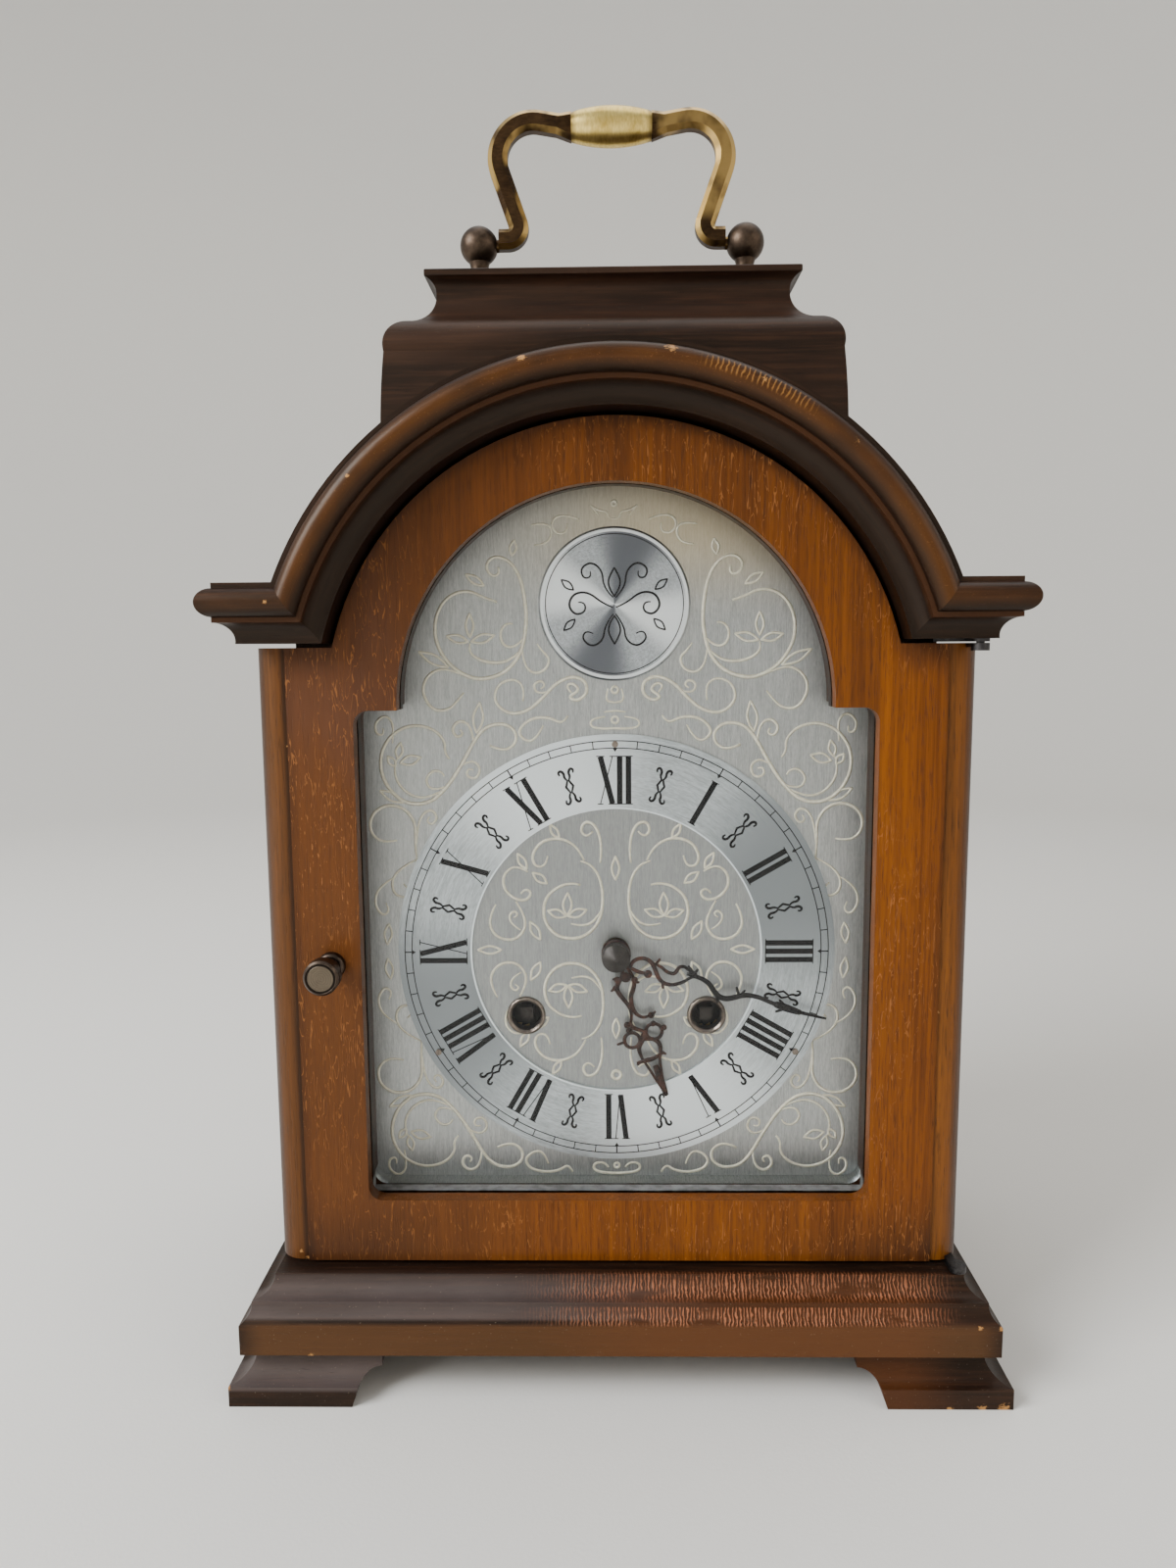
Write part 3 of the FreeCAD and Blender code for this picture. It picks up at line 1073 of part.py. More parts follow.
def make_motion_work():
    """Cannon pinion, minute wheel on its post, and hour wheel with its pipe, in front of the plate."""
    minute_back = PLATE_FRONT_Y - MOTION_GAP
    minute_front = minute_back - MOTION_WHEEL_THICKNESS
    cannon_back = PLATE_FRONT_Y - MOTION_GAP / 2
    cannon_front = minute_front - MOTION_GAP / 2
    hour_back = cannon_front - MOTION_GAP
    hour_front = hour_back - MOTION_WHEEL_THICKNESS
    pinion_front = hour_front - MOTION_GAP / 2
    nut_bore_end = NUT_Y - NUT_LENGTH + NUT_CONE_LENGTH

    cannon = joined([toothed(CANNON_TEETH, MINUTE_MODULE, cannon_front, cannon_back, 0, CENTRE),
                     bar("y", CANNON_PIPE_RADIUS, MINUTE_HAND_Y, cannon_back, *CENTRE),
                     bar("y", CANNON_END_RADIUS, nut_bore_end, MINUTE_HAND_Y, *CENTRE)])
    save("cannon_pinion", cannon.cut(bar("y", CENTRE_ARBOR_RADIUS, DIAL_BACK_Y, cannon_back, *CENTRE)))

    phase = meshed_phase(MINUTE_WHEEL_TEETH, CANNON_TEETH, CENTRE, MINUTE_POST)
    minute = joined([toothed(MINUTE_WHEEL_TEETH, MINUTE_MODULE, minute_front, minute_back, phase, MINUTE_POST),
                     toothed(MINUTE_PINION_TEETH, HOUR_MODULE, pinion_front, minute_front, 0, MINUTE_POST)])
    save("minute_wheel", minute.cut(bar("y", MINUTE_POST_RADIUS + BEARING_GAP, pinion_front, minute_back,
                                        *MINUTE_POST)))

    phase = meshed_phase(HOUR_TEETH, MINUTE_PINION_TEETH, MINUTE_POST, CENTRE)
    bore = CANNON_PIPE_RADIUS + BEARING_GAP
    hour = joined([toothed(HOUR_TEETH, HOUR_MODULE, hour_front, hour_back, phase, CENTRE),
                   bar("y", bore + HOUR_PIPE_WALL, HOUR_HAND_Y - HAND_THICKNESS, hour_front, *CENTRE)])
    save("hour_wheel", hour.cut(bar("y", bore, HOUR_HAND_Y - HAND_THICKNESS, hour_back, *CENTRE)))


def make_going_train():
    """Wheels and pinions from the barrel up to the escape wheel."""
    centre_y, third_y, escape_y, great_y, intermediate_y = [
        PLATE_INNER_Y + place for place in (CENTRE_WHEEL_AT, THIRD_WHEEL_AT, ESCAPE_WHEEL_AT, GREAT_WHEEL_AT,
                                            INTERMEDIATE_WHEEL_AT)]
    phase = meshed_phase(GREAT_PINION_TEETH, GREAT_TEETH, GOING, INTERMEDIATE)
    save("intermediate_wheel", joined([
        arbor(INTERMEDIATE), crossed(INTERMEDIATE_TEETH, INTERMEDIATE_MODULE, intermediate_y, 0, INTERMEDIATE),
        pinion(GREAT_PINION_TEETH, GREAT_MODULE, great_y, phase, INTERMEDIATE)]))

    phase = meshed_phase(CENTRE_PINION_TEETH, INTERMEDIATE_TEETH, INTERMEDIATE, CENTRE)
    save("centre_wheel", joined([
        bar("y", CENTRE_ARBOR_RADIUS, DIAL_BACK_Y, BACK_PLATE_Y - FITTED_GAP, *CENTRE),
        bar("y", PIVOT_RADIUS, PLATE_INNER_Y, BACK_PLATE_Y + PIVOT_LENGTH, *CENTRE),
        crossed(CENTRE_TEETH, CENTRE_MODULE, centre_y, 0, CENTRE),
        pinion(CENTRE_PINION_TEETH, INTERMEDIATE_MODULE, intermediate_y, phase, CENTRE)]))

    phase = meshed_phase(THIRD_PINION_TEETH, CENTRE_TEETH, CENTRE, THIRD)
    save("third_wheel", joined([
        arbor(THIRD), crossed(THIRD_TEETH, THIRD_MODULE, third_y, 0, THIRD),
        pinion(THIRD_PINION_TEETH, CENTRE_MODULE, centre_y, phase, THIRD)]))

    phase = meshed_phase(ESCAPE_PINION_TEETH, THIRD_TEETH, THIRD, ESCAPE)
    save("escape_wheel", joined([
        arbor(ESCAPE), pinion(ESCAPE_PINION_TEETH, THIRD_MODULE, third_y, phase, ESCAPE),
        sawtoothed(ESCAPE_TEETH, ESCAPE_RADIUS, ESCAPE_TOOTH_DEPTH, escape_y, escape_y + WHEEL_THICKNESS, ESCAPE)]))


def make_barrels():
    """Spring barrels with their great wheels, each on a winding arbor that ends in a square behind the dial."""
    great_y = PLATE_INNER_Y + GREAT_WHEEL_AT
    great_back = great_y + WHEEL_THICKNESS
    drum_y = great_y - BARREL_LENGTH
    square_y = DIAL_BACK_Y + WINDER_BEHIND_DIAL
    square_back = square_y + WINDER_SQUARE_LENGTH
    ratchet_back = PLATE_FRONT_Y - FITTED_GAP
    half = WINDER_SQUARE / 2
    for name, place in (("going", GOING), ("strike", STRIKE)):
        x, z = place
        drum = joined([bar("y", BARREL_RADIUS, drum_y, great_y, x, z),
                       toothed(GREAT_TEETH, GREAT_MODULE, great_y, great_back, 0, place)])
        save(name + "_barrel", drum.cut(bar("y", WINDER_RADIUS + BEARING_GAP, drum_y, great_back, x, z)))
        save(name + "_winder", joined([
            bar("y", WINDER_RADIUS, square_back, BACK_PLATE_BACK_Y, x, z),
            box(x - half, x + half, square_y, square_back, z - half, z + half),
            sawtoothed(RATCHET_TEETH, RATCHET_RADIUS, RATCHET_DEPTH, ratchet_back - RATCHET_THICKNESS,
                       ratchet_back, place)]))


def make_plates():
    """Front and back plates on four pillars, and the board on rails that carries them."""
    half, corner = PLATE_WIDTH / 2, PLATE_CORNER
    corners = [(-half + corner, PLATE_BOTTOM), (half - corner, PLATE_BOTTOM), (half, PLATE_BOTTOM + corner),
               (half, PLATE_TOP - corner), (half - corner, PLATE_TOP), (-half + corner, PLATE_TOP),
               (-half, PLATE_TOP - corner), (-half, PLATE_BOTTOM + corner)]
    pivots = [INTERMEDIATE, THIRD, ESCAPE, PIN_WHEEL, FLY]
    shared = [(place, WINDER_RADIUS + BEARING_GAP) for place in (GOING, STRIKE)]
    shared += [(place, PIVOT_RADIUS + BEARING_GAP) for place in pivots]
    shared += [(place, PILLAR_STUD_RADIUS) for place in PILLARS]
    front_holes = shared + [(CENTRE, CENTRE_ARBOR_RADIUS + BEARING_GAP), (PALLET, PIVOT_RADIUS + BEARING_GAP),
                            (HAMMER, PIVOT_RADIUS + BEARING_GAP)]
    back_holes = shared + [(CENTRE, PIVOT_RADIUS + BEARING_GAP), (PALLET, ARBOR_RADIUS + FITTED_GAP),
                           (HAMMER, ARBOR_RADIUS + BEARING_GAP)]
    front = closed(corners).prism("xz", PLATE_FRONT_Y, PLATE_INNER_Y)
    back = closed(corners).prism("xz", BACK_PLATE_Y, BACK_PLATE_BACK_Y)
    for place, radius in front_holes:
        front = front.cut(bar("y", radius, PLATE_FRONT_Y, PLATE_INNER_Y, *place))
    for place, radius in back_holes:
        back = back.cut(bar("y", radius, BACK_PLATE_Y, BACK_PLATE_BACK_Y, *place))
    post_front = PLATE_FRONT_Y - 2 * MOTION_GAP - 2 * MOTION_WHEEL_THICKNESS - 2 * MOTION_GAP
    save("front_plate", joined([front, bar("y", MINUTE_POST_RADIUS, post_front, PLATE_FRONT_Y, *MINUTE_POST)]))
    save("back_plate", back)

    pillars = []
    for place in PILLARS:
        nuts = [bar("y", PILLAR_NUT_RADIUS, PLATE_FRONT_Y - PILLAR_NUT_HEIGHT, PLATE_FRONT_Y, *place),
                bar("y", PILLAR_NUT_RADIUS, BACK_PLATE_BACK_Y, BACK_PLATE_BACK_Y + PILLAR_NUT_HEIGHT, *place)]
        pillars.append(joined([bar("y", PILLAR_RADIUS, PLATE_INNER_Y, BACK_PLATE_Y, *place),
                               bar("y", PILLAR_STUD_RADIUS, PLATE_FRONT_Y, BACK_PLATE_BACK_Y, *place)] + nuts))
    save("plate_pillars", *pillars)

    inside = CASE_WIDTH / 2 - CASE_WALL
    seat_z = PLATE_BOTTOM - SEAT_THICKNESS
    seat_y, seat_back = PLATE_FRONT_Y - SEAT_OVERHANG, BACK_PLATE_BACK_Y + SEAT_OVERHANG
    save("seat_board", box(SEAT_GAP - inside, inside - SEAT_GAP, seat_y, seat_back, seat_z, PLATE_BOTTOM))
    rail = box(inside - RAIL_WIDTH, inside, seat_y, seat_back, seat_z - RAIL_HEIGHT, seat_z)
    save("seat_rails", mirrored(rail), rail)


def make_pendulum():
    """Pallets with their crutch, the rod on its pin, the bob with a rating nut, and the cock that carries them."""
    x, z = PALLET
    escape_y = PLATE_INNER_Y + ESCAPE_WHEEL_AT
    crutch_y = BACK_PLATE_BACK_Y + CRUTCH_BEHIND_PLATE
    crutch_back = crutch_y + PALLET_THICKNESS
    bridge_y = BACK_PLATE_BACK_Y + COCK_BEHIND_PLATE
    bridge_back = bridge_y + COCK_THICKNESS
    rod_y = BACK_PLATE_BACK_Y + PENDULUM_BEHIND_PLATE
    fork_z = z - CRUTCH_LENGTH
    fork_inner = PENDULUM_ROD_RADIUS + FITTED_GAP
    fork_outer = fork_inner + CRUTCH_WIDTH / 2
    spread, up = math.radians(PALLET_SPREAD), math.pi / 2
    inner = [beside(ESCAPE, ESCAPE_RADIUS + PALLET_CLEARANCE, angle) for angle in (up + spread, up, up - spread)]
    outer = [beside(ESCAPE, ESCAPE_RADIUS + PALLET_CLEARANCE + PALLET_ARM_WIDTH, angle)
             for angle in (up - spread, up, up + spread)]
    anchor = Outline(*inner[0]).through(inner[1], inner[2]).line(*outer[0]).through(outer[1], outer[2])
    fork_block = box(-fork_outer, fork_outer, crutch_y, crutch_back, fork_z, fork_z + CRUTCH_WIDTH)
    prong = box(fork_inner, fork_outer, crutch_y, rod_y + CRUTCH_WIDTH, fork_z, fork_z + CRUTCH_WIDTH)
    save("pallets", joined([
        arbor(PALLET, bridge_y), anchor.prism("xz", escape_y, escape_y + PALLET_THICKNESS),
        bar("y", SUSPENSION_HEAD, escape_y, escape_y + PALLET_THICKNESS, x, z),
        bar("y", SUSPENSION_HEAD, crutch_y, crutch_back, x, z),
        box(-CRUTCH_WIDTH / 2, CRUTCH_WIDTH / 2, crutch_y, crutch_back, fork_z, z),
        fork_block, prong, mirrored(prong)]))

    bob_z = z - PENDULUM_LENGTH
    nut_top = bob_z - BOB_RADIUS
    nut_bottom = nut_top - RATING_NUT_HEIGHT
    half = CRUTCH_WIDTH / 2
    rod = joined([bar("z", PENDULUM_ROD_RADIUS, nut_bottom - MOTION_GAP, z, x, rod_y),
                  bar("y", SUSPENSION_HEAD, rod_y - half, rod_y + half, x, z)])
    save("pendulum_rod", rod.cut(bar("y", SUSPENSION_PIN_RADIUS + BEARING_GAP, rod_y - half, rod_y + half, x, z)))

    bob = Outline(-BOB_THICKNESS / 2, 0).line(-BOB_THICKNESS / 2, BOB_CENTRE_RADIUS)
    bob.curve(-BOB_EDGE / 2, BOB_RADIUS, SHALLOW_SHARE).line(BOB_EDGE / 2, BOB_RADIUS)
    bob.curve(BOB_THICKNESS / 2, BOB_CENTRE_RADIUS, SHALLOW_SHARE).line(BOB_THICKNESS / 2, 0)
    through_rod = bar("z", PENDULUM_ROD_RADIUS, nut_bottom, bob_z + BOB_RADIUS, x, rod_y)
    nut = bar("z", RATING_NUT_RADIUS, nut_bottom, nut_top, x, rod_y)
    save("pendulum_bob", bob.turned("y", x, rod_y, bob_z).cut(through_rod), nut.cut(through_rod))

    side, leg = COCK_WIDTH / 2, 2 * COCK_THICKNESS
    foot = box(side - leg, side, BACK_PLATE_BACK_Y, bridge_y, z - COCK_DROP, PLATE_TOP)
    cock = joined([box(-side, side, bridge_y, bridge_back, z - COCK_DROP, PLATE_TOP), foot, mirrored(foot),
                   bar("y", SUSPENSION_PIN_RADIUS, bridge_back, rod_y + CRUTCH_WIDTH, x, z)])
    save("pendulum_cock", cock.cut(bar("y", PIVOT_RADIUS + BEARING_GAP, bridge_y,
                                       bridge_y + PIVOT_LENGTH + FITTED_GAP, x, z)))


def make_strike_work():
    """Pin wheel, fly, hammer, and the coiled gong on its block."""
    great_y, pin_y = PLATE_INNER_Y + GREAT_WHEEL_AT, PLATE_INNER_Y + INTERMEDIATE_WHEEL_AT
    pin_back = pin_y + WHEEL_THICKNESS
    phase = meshed_phase(GREAT_PINION_TEETH, GREAT_TEETH, STRIKE, PIN_WHEEL)
    pins = []
    for index in range(PIN_COUNT):
        place = beside(PIN_WHEEL, PIN_CIRCLE, 2 * math.pi * index / PIN_COUNT)
        pins.append(bar("y", PIN_RADIUS, pin_back, pin_back + PIN_LENGTH, *place))
    save("pin_wheel", joined([arbor(PIN_WHEEL), crossed(PIN_WHEEL_TEETH, PIN_WHEEL_MODULE, pin_y, 0, PIN_WHEEL),
                              pinion(GREAT_PINION_TEETH, GREAT_MODULE, great_y, phase, PIN_WHEEL)] + pins))

    phase = meshed_phase(FLY_PINION_TEETH, PIN_WHEEL_TEETH, PIN_WHEEL, FLY)
    fly_y, half_span, half_blade = PLATE_INNER_Y + FLY_AT, FLY_SPAN / 2, FLY_BLADE / 2
    blade = box(FLY[0] - half_span, FLY[0] + half_span, fly_y, fly_y + FLY_WIDTH, FLY[1] - half_blade,
                FLY[1] + half_blade)
    save("fly", joined([arbor(FLY), pinion(FLY_PINION_TEETH, PIN_WHEEL_MODULE, pin_y, phase, FLY), blade]))

    gong_y = BACK_PLATE_BACK_Y + GONG_BEHIND_PLATE
    gong_front, gong_back = gong_y - GONG_STRIP_DEPTH / 2, gong_y + GONG_STRIP_DEPTH / 2
    block_y = gong_back + GONG_BLOCK_GAP
    turns = [(-GONG_INNER_RADIUS, GONG_CENTRE_Z, 0)]
    for index in range(GONG_HALF_TURNS):
        growth = (index + 1) // 2 * GONG_PITCH
        side = 1 if index % 2 == 0 else -1
        turns.append((side * (GONG_INNER_RADIUS + growth), GONG_CENTRE_Z, HALF_SHARE))
    post = bar("y", GONG_POST_RADIUS, gong_front, block_y, -GONG_INNER_RADIUS, GONG_CENTRE_Z)
    save("gong", joined(stroke(turns, GONG_STRIP_WIDTH, gong_front, gong_back) + [post]))
    save("gong_block", box(-GONG_INNER_RADIUS - GONG_BLOCK_WIDTH / 2, -GONG_INNER_RADIUS + GONG_BLOCK_WIDTH / 2,
                           block_y, block_y + GONG_BLOCK_DEPTH, BASE_TOP, GONG_CENTRE_Z + GONG_BLOCK_RISE))

    outer_turn = GONG_INNER_RADIUS + GONG_HALF_TURNS // 2 * GONG_PITCH + GONG_STRIP_WIDTH / 2
    face_x, head_z = -outer_turn - HAMMER_GONG_GAP, GONG_CENTRE_Z + HAMMER_HEAD_RISE
    arm_x = face_x - HAMMER_HEAD_LENGTH + HAMMER_ARM_WIDTH
    arm_y, half_arm = gong_y, HAMMER_ARM_WIDTH / 2
    tail_reach = math.dist(HAMMER, PIN_WHEEL) - PIN_CIRCLE - PIN_RADIUS - FITTED_GAP - HAMMER_TAIL_WIDTH / 2
    tail_end = beside(HAMMER, tail_reach, heading(HAMMER, PIN_WHEEL))
    tail_y = pin_back + FITTED_GAP
    save("hammer", joined([
        arbor(HAMMER), bar("y", ARBOR_RADIUS, BACK_PLATE_Y - MOTION_GAP, arm_y + half_arm, *HAMMER),
        bar("x", HAMMER_HEAD_RADIUS, face_x - HAMMER_HEAD_LENGTH, face_x, arm_y, head_z)]
        + stroke([(*HAMMER, 0), (arm_x, head_z, 0)], HAMMER_ARM_WIDTH, arm_y - half_arm, arm_y + half_arm)
        + stroke([(*HAMMER, 0), (*tail_end, 0)], HAMMER_TAIL_WIDTH, tail_y, tail_y + PALLET_THICKNESS)))


def rear_opening(grow):
    return break_arch(REAR_OPENING_WIDTH, BASE_TOP + REAR_OPENING_SILL, BASE_TOP + REAR_OPENING_SHOULDER,
                      ARCH_Z, REAR_OPENING_RADIUS, grow)


REAR_DOOR_BACK_Y = BACK_Y - REAR_DOOR_INSET
REAR_DOOR_Y = REAR_DOOR_BACK_Y - REAR_DOOR_THICKNESS
REAR_HINGE_X = -REAR_OPENING_WIDTH / 2 + REAR_KNUCKLE_RADIUS + REAR_KNUCKLE_GAP
REAR_HINGE_Y = REAR_DOOR_BACK_Y + REAR_KNUCKLE_RADIUS + REAR_KNUCKLE_GAP
REAR_HINGES = (BASE_TOP + REAR_OPENING_SILL + REAR_HINGE_INSET, BASE_TOP + REAR_OPENING_SHOULDER - REAR_HINGE_INSET)


def rear_frame_leaves():
    """Plates let into the side of the rear opening, as long as three knuckles."""
    edge, half = -REAR_OPENING_WIDTH / 2, REAR_KNUCKLE_LENGTH * 3 / 2
    return [box(edge - REAR_LEAF_THICKNESS, edge, REAR_DOOR_BACK_Y, REAR_HINGE_Y + REAR_KNUCKLE_RADIUS, z - half,
                z + half) for z in REAR_HINGES]


def rear_door_leaves():
    """Plates let into the outer face of the rear door."""
    half = REAR_KNUCKLE_LENGTH * 3 / 2
    return [box(REAR_HINGE_X, REAR_HINGE_X + REAR_LEAF_LENGTH, REAR_DOOR_BACK_Y - REAR_LEAF_THICKNESS,
                REAR_DOOR_BACK_Y, z - half, z + half) for z in REAR_HINGES]


def make_rear_door():
    """A plain arched door with sound slots, a turned knob and two butt hinges."""
    panel = rear_opening(-REAR_DOOR_GAP).prism("xz", REAR_DOOR_Y, REAR_DOOR_BACK_Y)
    slot_z = BASE_TOP + REAR_OPENING_SILL + SOUND_SLOT_SILL
    for index in range(SOUND_SLOT_COUNT):
        x = (index - (SOUND_SLOT_COUNT - 1) / 2) * SOUND_SLOT_PITCH
        half = SOUND_SLOT_WIDTH / 2
        slot = Outline(x - half, slot_z).line(x - half, slot_z + SOUND_SLOT_LENGTH)
        slot.curve(x + half, slot_z + SOUND_SLOT_LENGTH, HALF_SHARE).line(x + half, slot_z)
        slot.curve(x - half, slot_z, HALF_SHARE)
        panel = panel.cut(slot.prism("xz", REAR_DOOR_Y, REAR_DOOR_BACK_Y))
    knob_x = REAR_OPENING_WIDTH / 2 - REAR_KNOB_INSET
    knob_z = (REAR_HINGES[0] + REAR_HINGES[1]) / 2
    panel = panel.cut(bar("y", REAR_KNOB_NECK_RADIUS, REAR_DOOR_Y, REAR_DOOR_BACK_Y, knob_x, knob_z))
    for leaf in rear_door_leaves():
        panel = panel.cut(leaf)
    save("rear_door_panel", panel)

    neck = REAR_KNOB_LENGTH / 2
    knob = Outline(-REAR_DOOR_THICKNESS, 0).line(-REAR_DOOR_THICKNESS, REAR_KNOB_NECK_RADIUS)
    knob.line(neck, REAR_KNOB_NECK_RADIUS).line(neck, REAR_KNOB_RADIUS)
    knob.line(REAR_KNOB_LENGTH, REAR_KNOB_RADIUS).line(REAR_KNOB_LENGTH, 0)
    save("rear_door_knob", knob.turned("y", knob_x, REAR_DOOR_BACK_Y, knob_z))

    edge, half = -REAR_OPENING_WIDTH / 2, REAR_KNUCKLE_LENGTH / 2
    neck = REAR_LEAF_THICKNESS / 2
    case_parts, door_parts = [], []
    for case_leaf, door_leaf, z in zip(rear_frame_leaves(), rear_door_leaves(), REAR_HINGES):
        low, high = z - 3 * half, z + 3 * half
        case_half = [case_leaf, bar("z", REAR_PIN_RADIUS, low, high, REAR_HINGE_X, REAR_HINGE_Y)]
        for knuckle_low, knuckle_high in ((low, z - half), (z + half, high)):
            case_half.append(bar("z", REAR_KNUCKLE_RADIUS, knuckle_low, knuckle_high, REAR_HINGE_X, REAR_HINGE_Y))
            case_half.append(box(edge, REAR_HINGE_X, REAR_HINGE_Y - neck, REAR_HINGE_Y + neck, knuckle_low,
                                 knuckle_high))
        case_parts.append(joined(case_half))
        low, high = z - half + FITTED_GAP, z + half - FITTED_GAP
        knuckle = joined([door_leaf, bar("z", REAR_KNUCKLE_RADIUS, low, high, REAR_HINGE_X, REAR_HINGE_Y),
                          box(REAR_HINGE_X, REAR_HINGE_X + REAR_KNUCKLE_RADIUS, REAR_DOOR_BACK_Y, REAR_HINGE_Y,
                              low, high)])
        door_parts.append(knuckle.cut(bar("z", REAR_PIN_RADIUS + BEARING_GAP, low, high, REAR_HINGE_X,
                                          REAR_HINGE_Y)))
    save("rear_case_leaves", *case_parts)
    save("rear_door_leaves", *door_parts)


os.makedirs("parts", exist_ok=True)
make_base()
make_feet()
make_case()
make_hood()
make_caddy()
make_handle_posts()
make_handle()
make_hinges()
make_door()
make_dial()
make_hands()
make_motion_work()
make_going_train()
make_barrels()
make_plates()
make_pendulum()
make_strike_work()
make_rear_door()
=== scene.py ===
import math

import bmesh
import bpy
from mathutils import Matrix, Vector


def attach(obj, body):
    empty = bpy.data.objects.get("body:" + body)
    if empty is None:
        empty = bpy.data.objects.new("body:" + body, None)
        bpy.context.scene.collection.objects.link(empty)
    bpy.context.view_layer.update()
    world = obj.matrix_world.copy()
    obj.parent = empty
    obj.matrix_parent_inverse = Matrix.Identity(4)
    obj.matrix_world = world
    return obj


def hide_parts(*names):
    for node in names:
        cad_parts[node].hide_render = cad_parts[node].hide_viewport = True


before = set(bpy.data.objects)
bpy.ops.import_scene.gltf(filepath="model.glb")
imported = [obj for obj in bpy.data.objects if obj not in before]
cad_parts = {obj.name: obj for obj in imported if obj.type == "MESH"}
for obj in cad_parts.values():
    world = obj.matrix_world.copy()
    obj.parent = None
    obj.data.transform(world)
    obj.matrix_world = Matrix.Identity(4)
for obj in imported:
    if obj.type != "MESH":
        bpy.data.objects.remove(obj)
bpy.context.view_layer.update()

# The photographer's eye: a wide lens held close, a little above the dial and looking slightly down.
# The place, the turn and the lens were fitted to edges of the clock in the photograph.
LENS = 25.35
SENSOR = 36.0
EYE = (-0.0026, -0.3818, 0.2306)
YAW, PITCH, ROLL = 0.99, 7.22, -0.44
NEAREST_SEEN = 0.01

camera = bpy.data.objects.new("camera", bpy.data.cameras.new("camera"))
camera.data.lens = LENS
camera.data.sensor_width = SENSOR
camera.data.clip_start = NEAREST_SEEN
turn = (Matrix.Rotation(math.radians(YAW), 4, "Z") @ Matrix.Rotation(math.radians(90 - PITCH), 4, "X")
        @ Matrix.Rotation(math.radians(ROLL), 4, "Z"))
camera.matrix_world = Matrix.Translation(EYE) @ turn
bpy.context.scene.collection.objects.link(camera)
bpy.context.scene.camera = camera


# A plain studio: a round floor of pale paper that sweeps up to a wall all round the clock and is open above,
# a large window light from the left, a weak one from the right, and a soft white sky over it.
WALL_RADIUS = 2.2
WALL_HEIGHT = 2.3
SWEEP_RADIUS = 0.9
SWEEP_FACETS, ROUND_FACETS = 16, 96
SHEET_COLOUR = (0.78, 0.755, 0.71, 1)
LIGHTS = (("window", (-1.2, -0.75, 1.0), 0.9, 40.0, (0.94, 0.97, 1.0)),
          ("reflector", (1.3, -0.7, 0.85), 0.8, 4.0, (1.0, 0.94, 0.86)),
          ("ceiling", (0.1, 0.2, 1.6), 1.2, 8.0, (1.0, 0.98, 0.95)))
AIM = Vector((0.0, -0.03, 0.2))
SKY_COLOUR, SKY_STRENGTH = (0.86, 0.9, 0.95, 1), 0.6


def mesh_object(name, bm):
    """Ends a bmesh as an object at the origin."""
    mesh = bpy.data.meshes.new(name)
    bm.to_mesh(mesh)
    bm.free()
    made = bpy.data.objects.new(name, mesh)
    bpy.context.scene.collection.objects.link(made)
    return made


def srgb(red, green, blue):
    """A colour read from a screen, 0 to 255, as the shader wants it."""
    linear = [((c / 255 + 0.055) / 1.055) ** 2.4 if c > 10 else c / 3294.6 for c in (red, green, blue)]
    return (*linear, 1.0)


class Socket:
    """A shader value: sums and products with it add the Math nodes."""

    def __init__(self, finish, link):
        self.finish = finish
        self.link = link

    def sum_of(self, operation, first, second=0.0):
        return self.finish.node("ShaderNodeMath", {"operation": operation}, {0: first, 1: second})

    def __add__(self, other):
        return self.sum_of("ADD", self, other)

    def __sub__(self, other):
        return self.sum_of("SUBTRACT", self, other)

    def __rsub__(self, other):
        return self.sum_of("SUBTRACT", other, self)

    def __mul__(self, other):
        return self.sum_of("MULTIPLY", self, other)

    __radd__ = __add__
    __rmul__ = __mul__

    def least(self, other):
        return self.sum_of("MINIMUM", self, other)

    def most(self, other):
        return self.sum_of("MAXIMUM", self, other)

    def size(self):
        return self.sum_of("ABSOLUTE", self)

    def root(self):
        return self.sum_of("SQRT", self)

    def wave(self):
        return self.sum_of("SINE", self)

    def ramp(self, low, high):
        """Nought at low, one at high and smooth between, also where low is the larger."""
        return self.finish.node("ShaderNodeMapRange", {"interpolation_type": "SMOOTHSTEP"},
                                {0: self, 1: low, 2: high})

    def between(self, near, far):
        """One inside a band, given as the two ramps at its edges."""
        return self.ramp(*near) * self.ramp(*far)

    def mix(self, without, with_it):
        """The first colour where this is nought, the second where it is one."""
        return self.finish.node("ShaderNodeMix", {"data_type": "RGBA"}, {0: self, 6: without, 7: with_it}, 2)


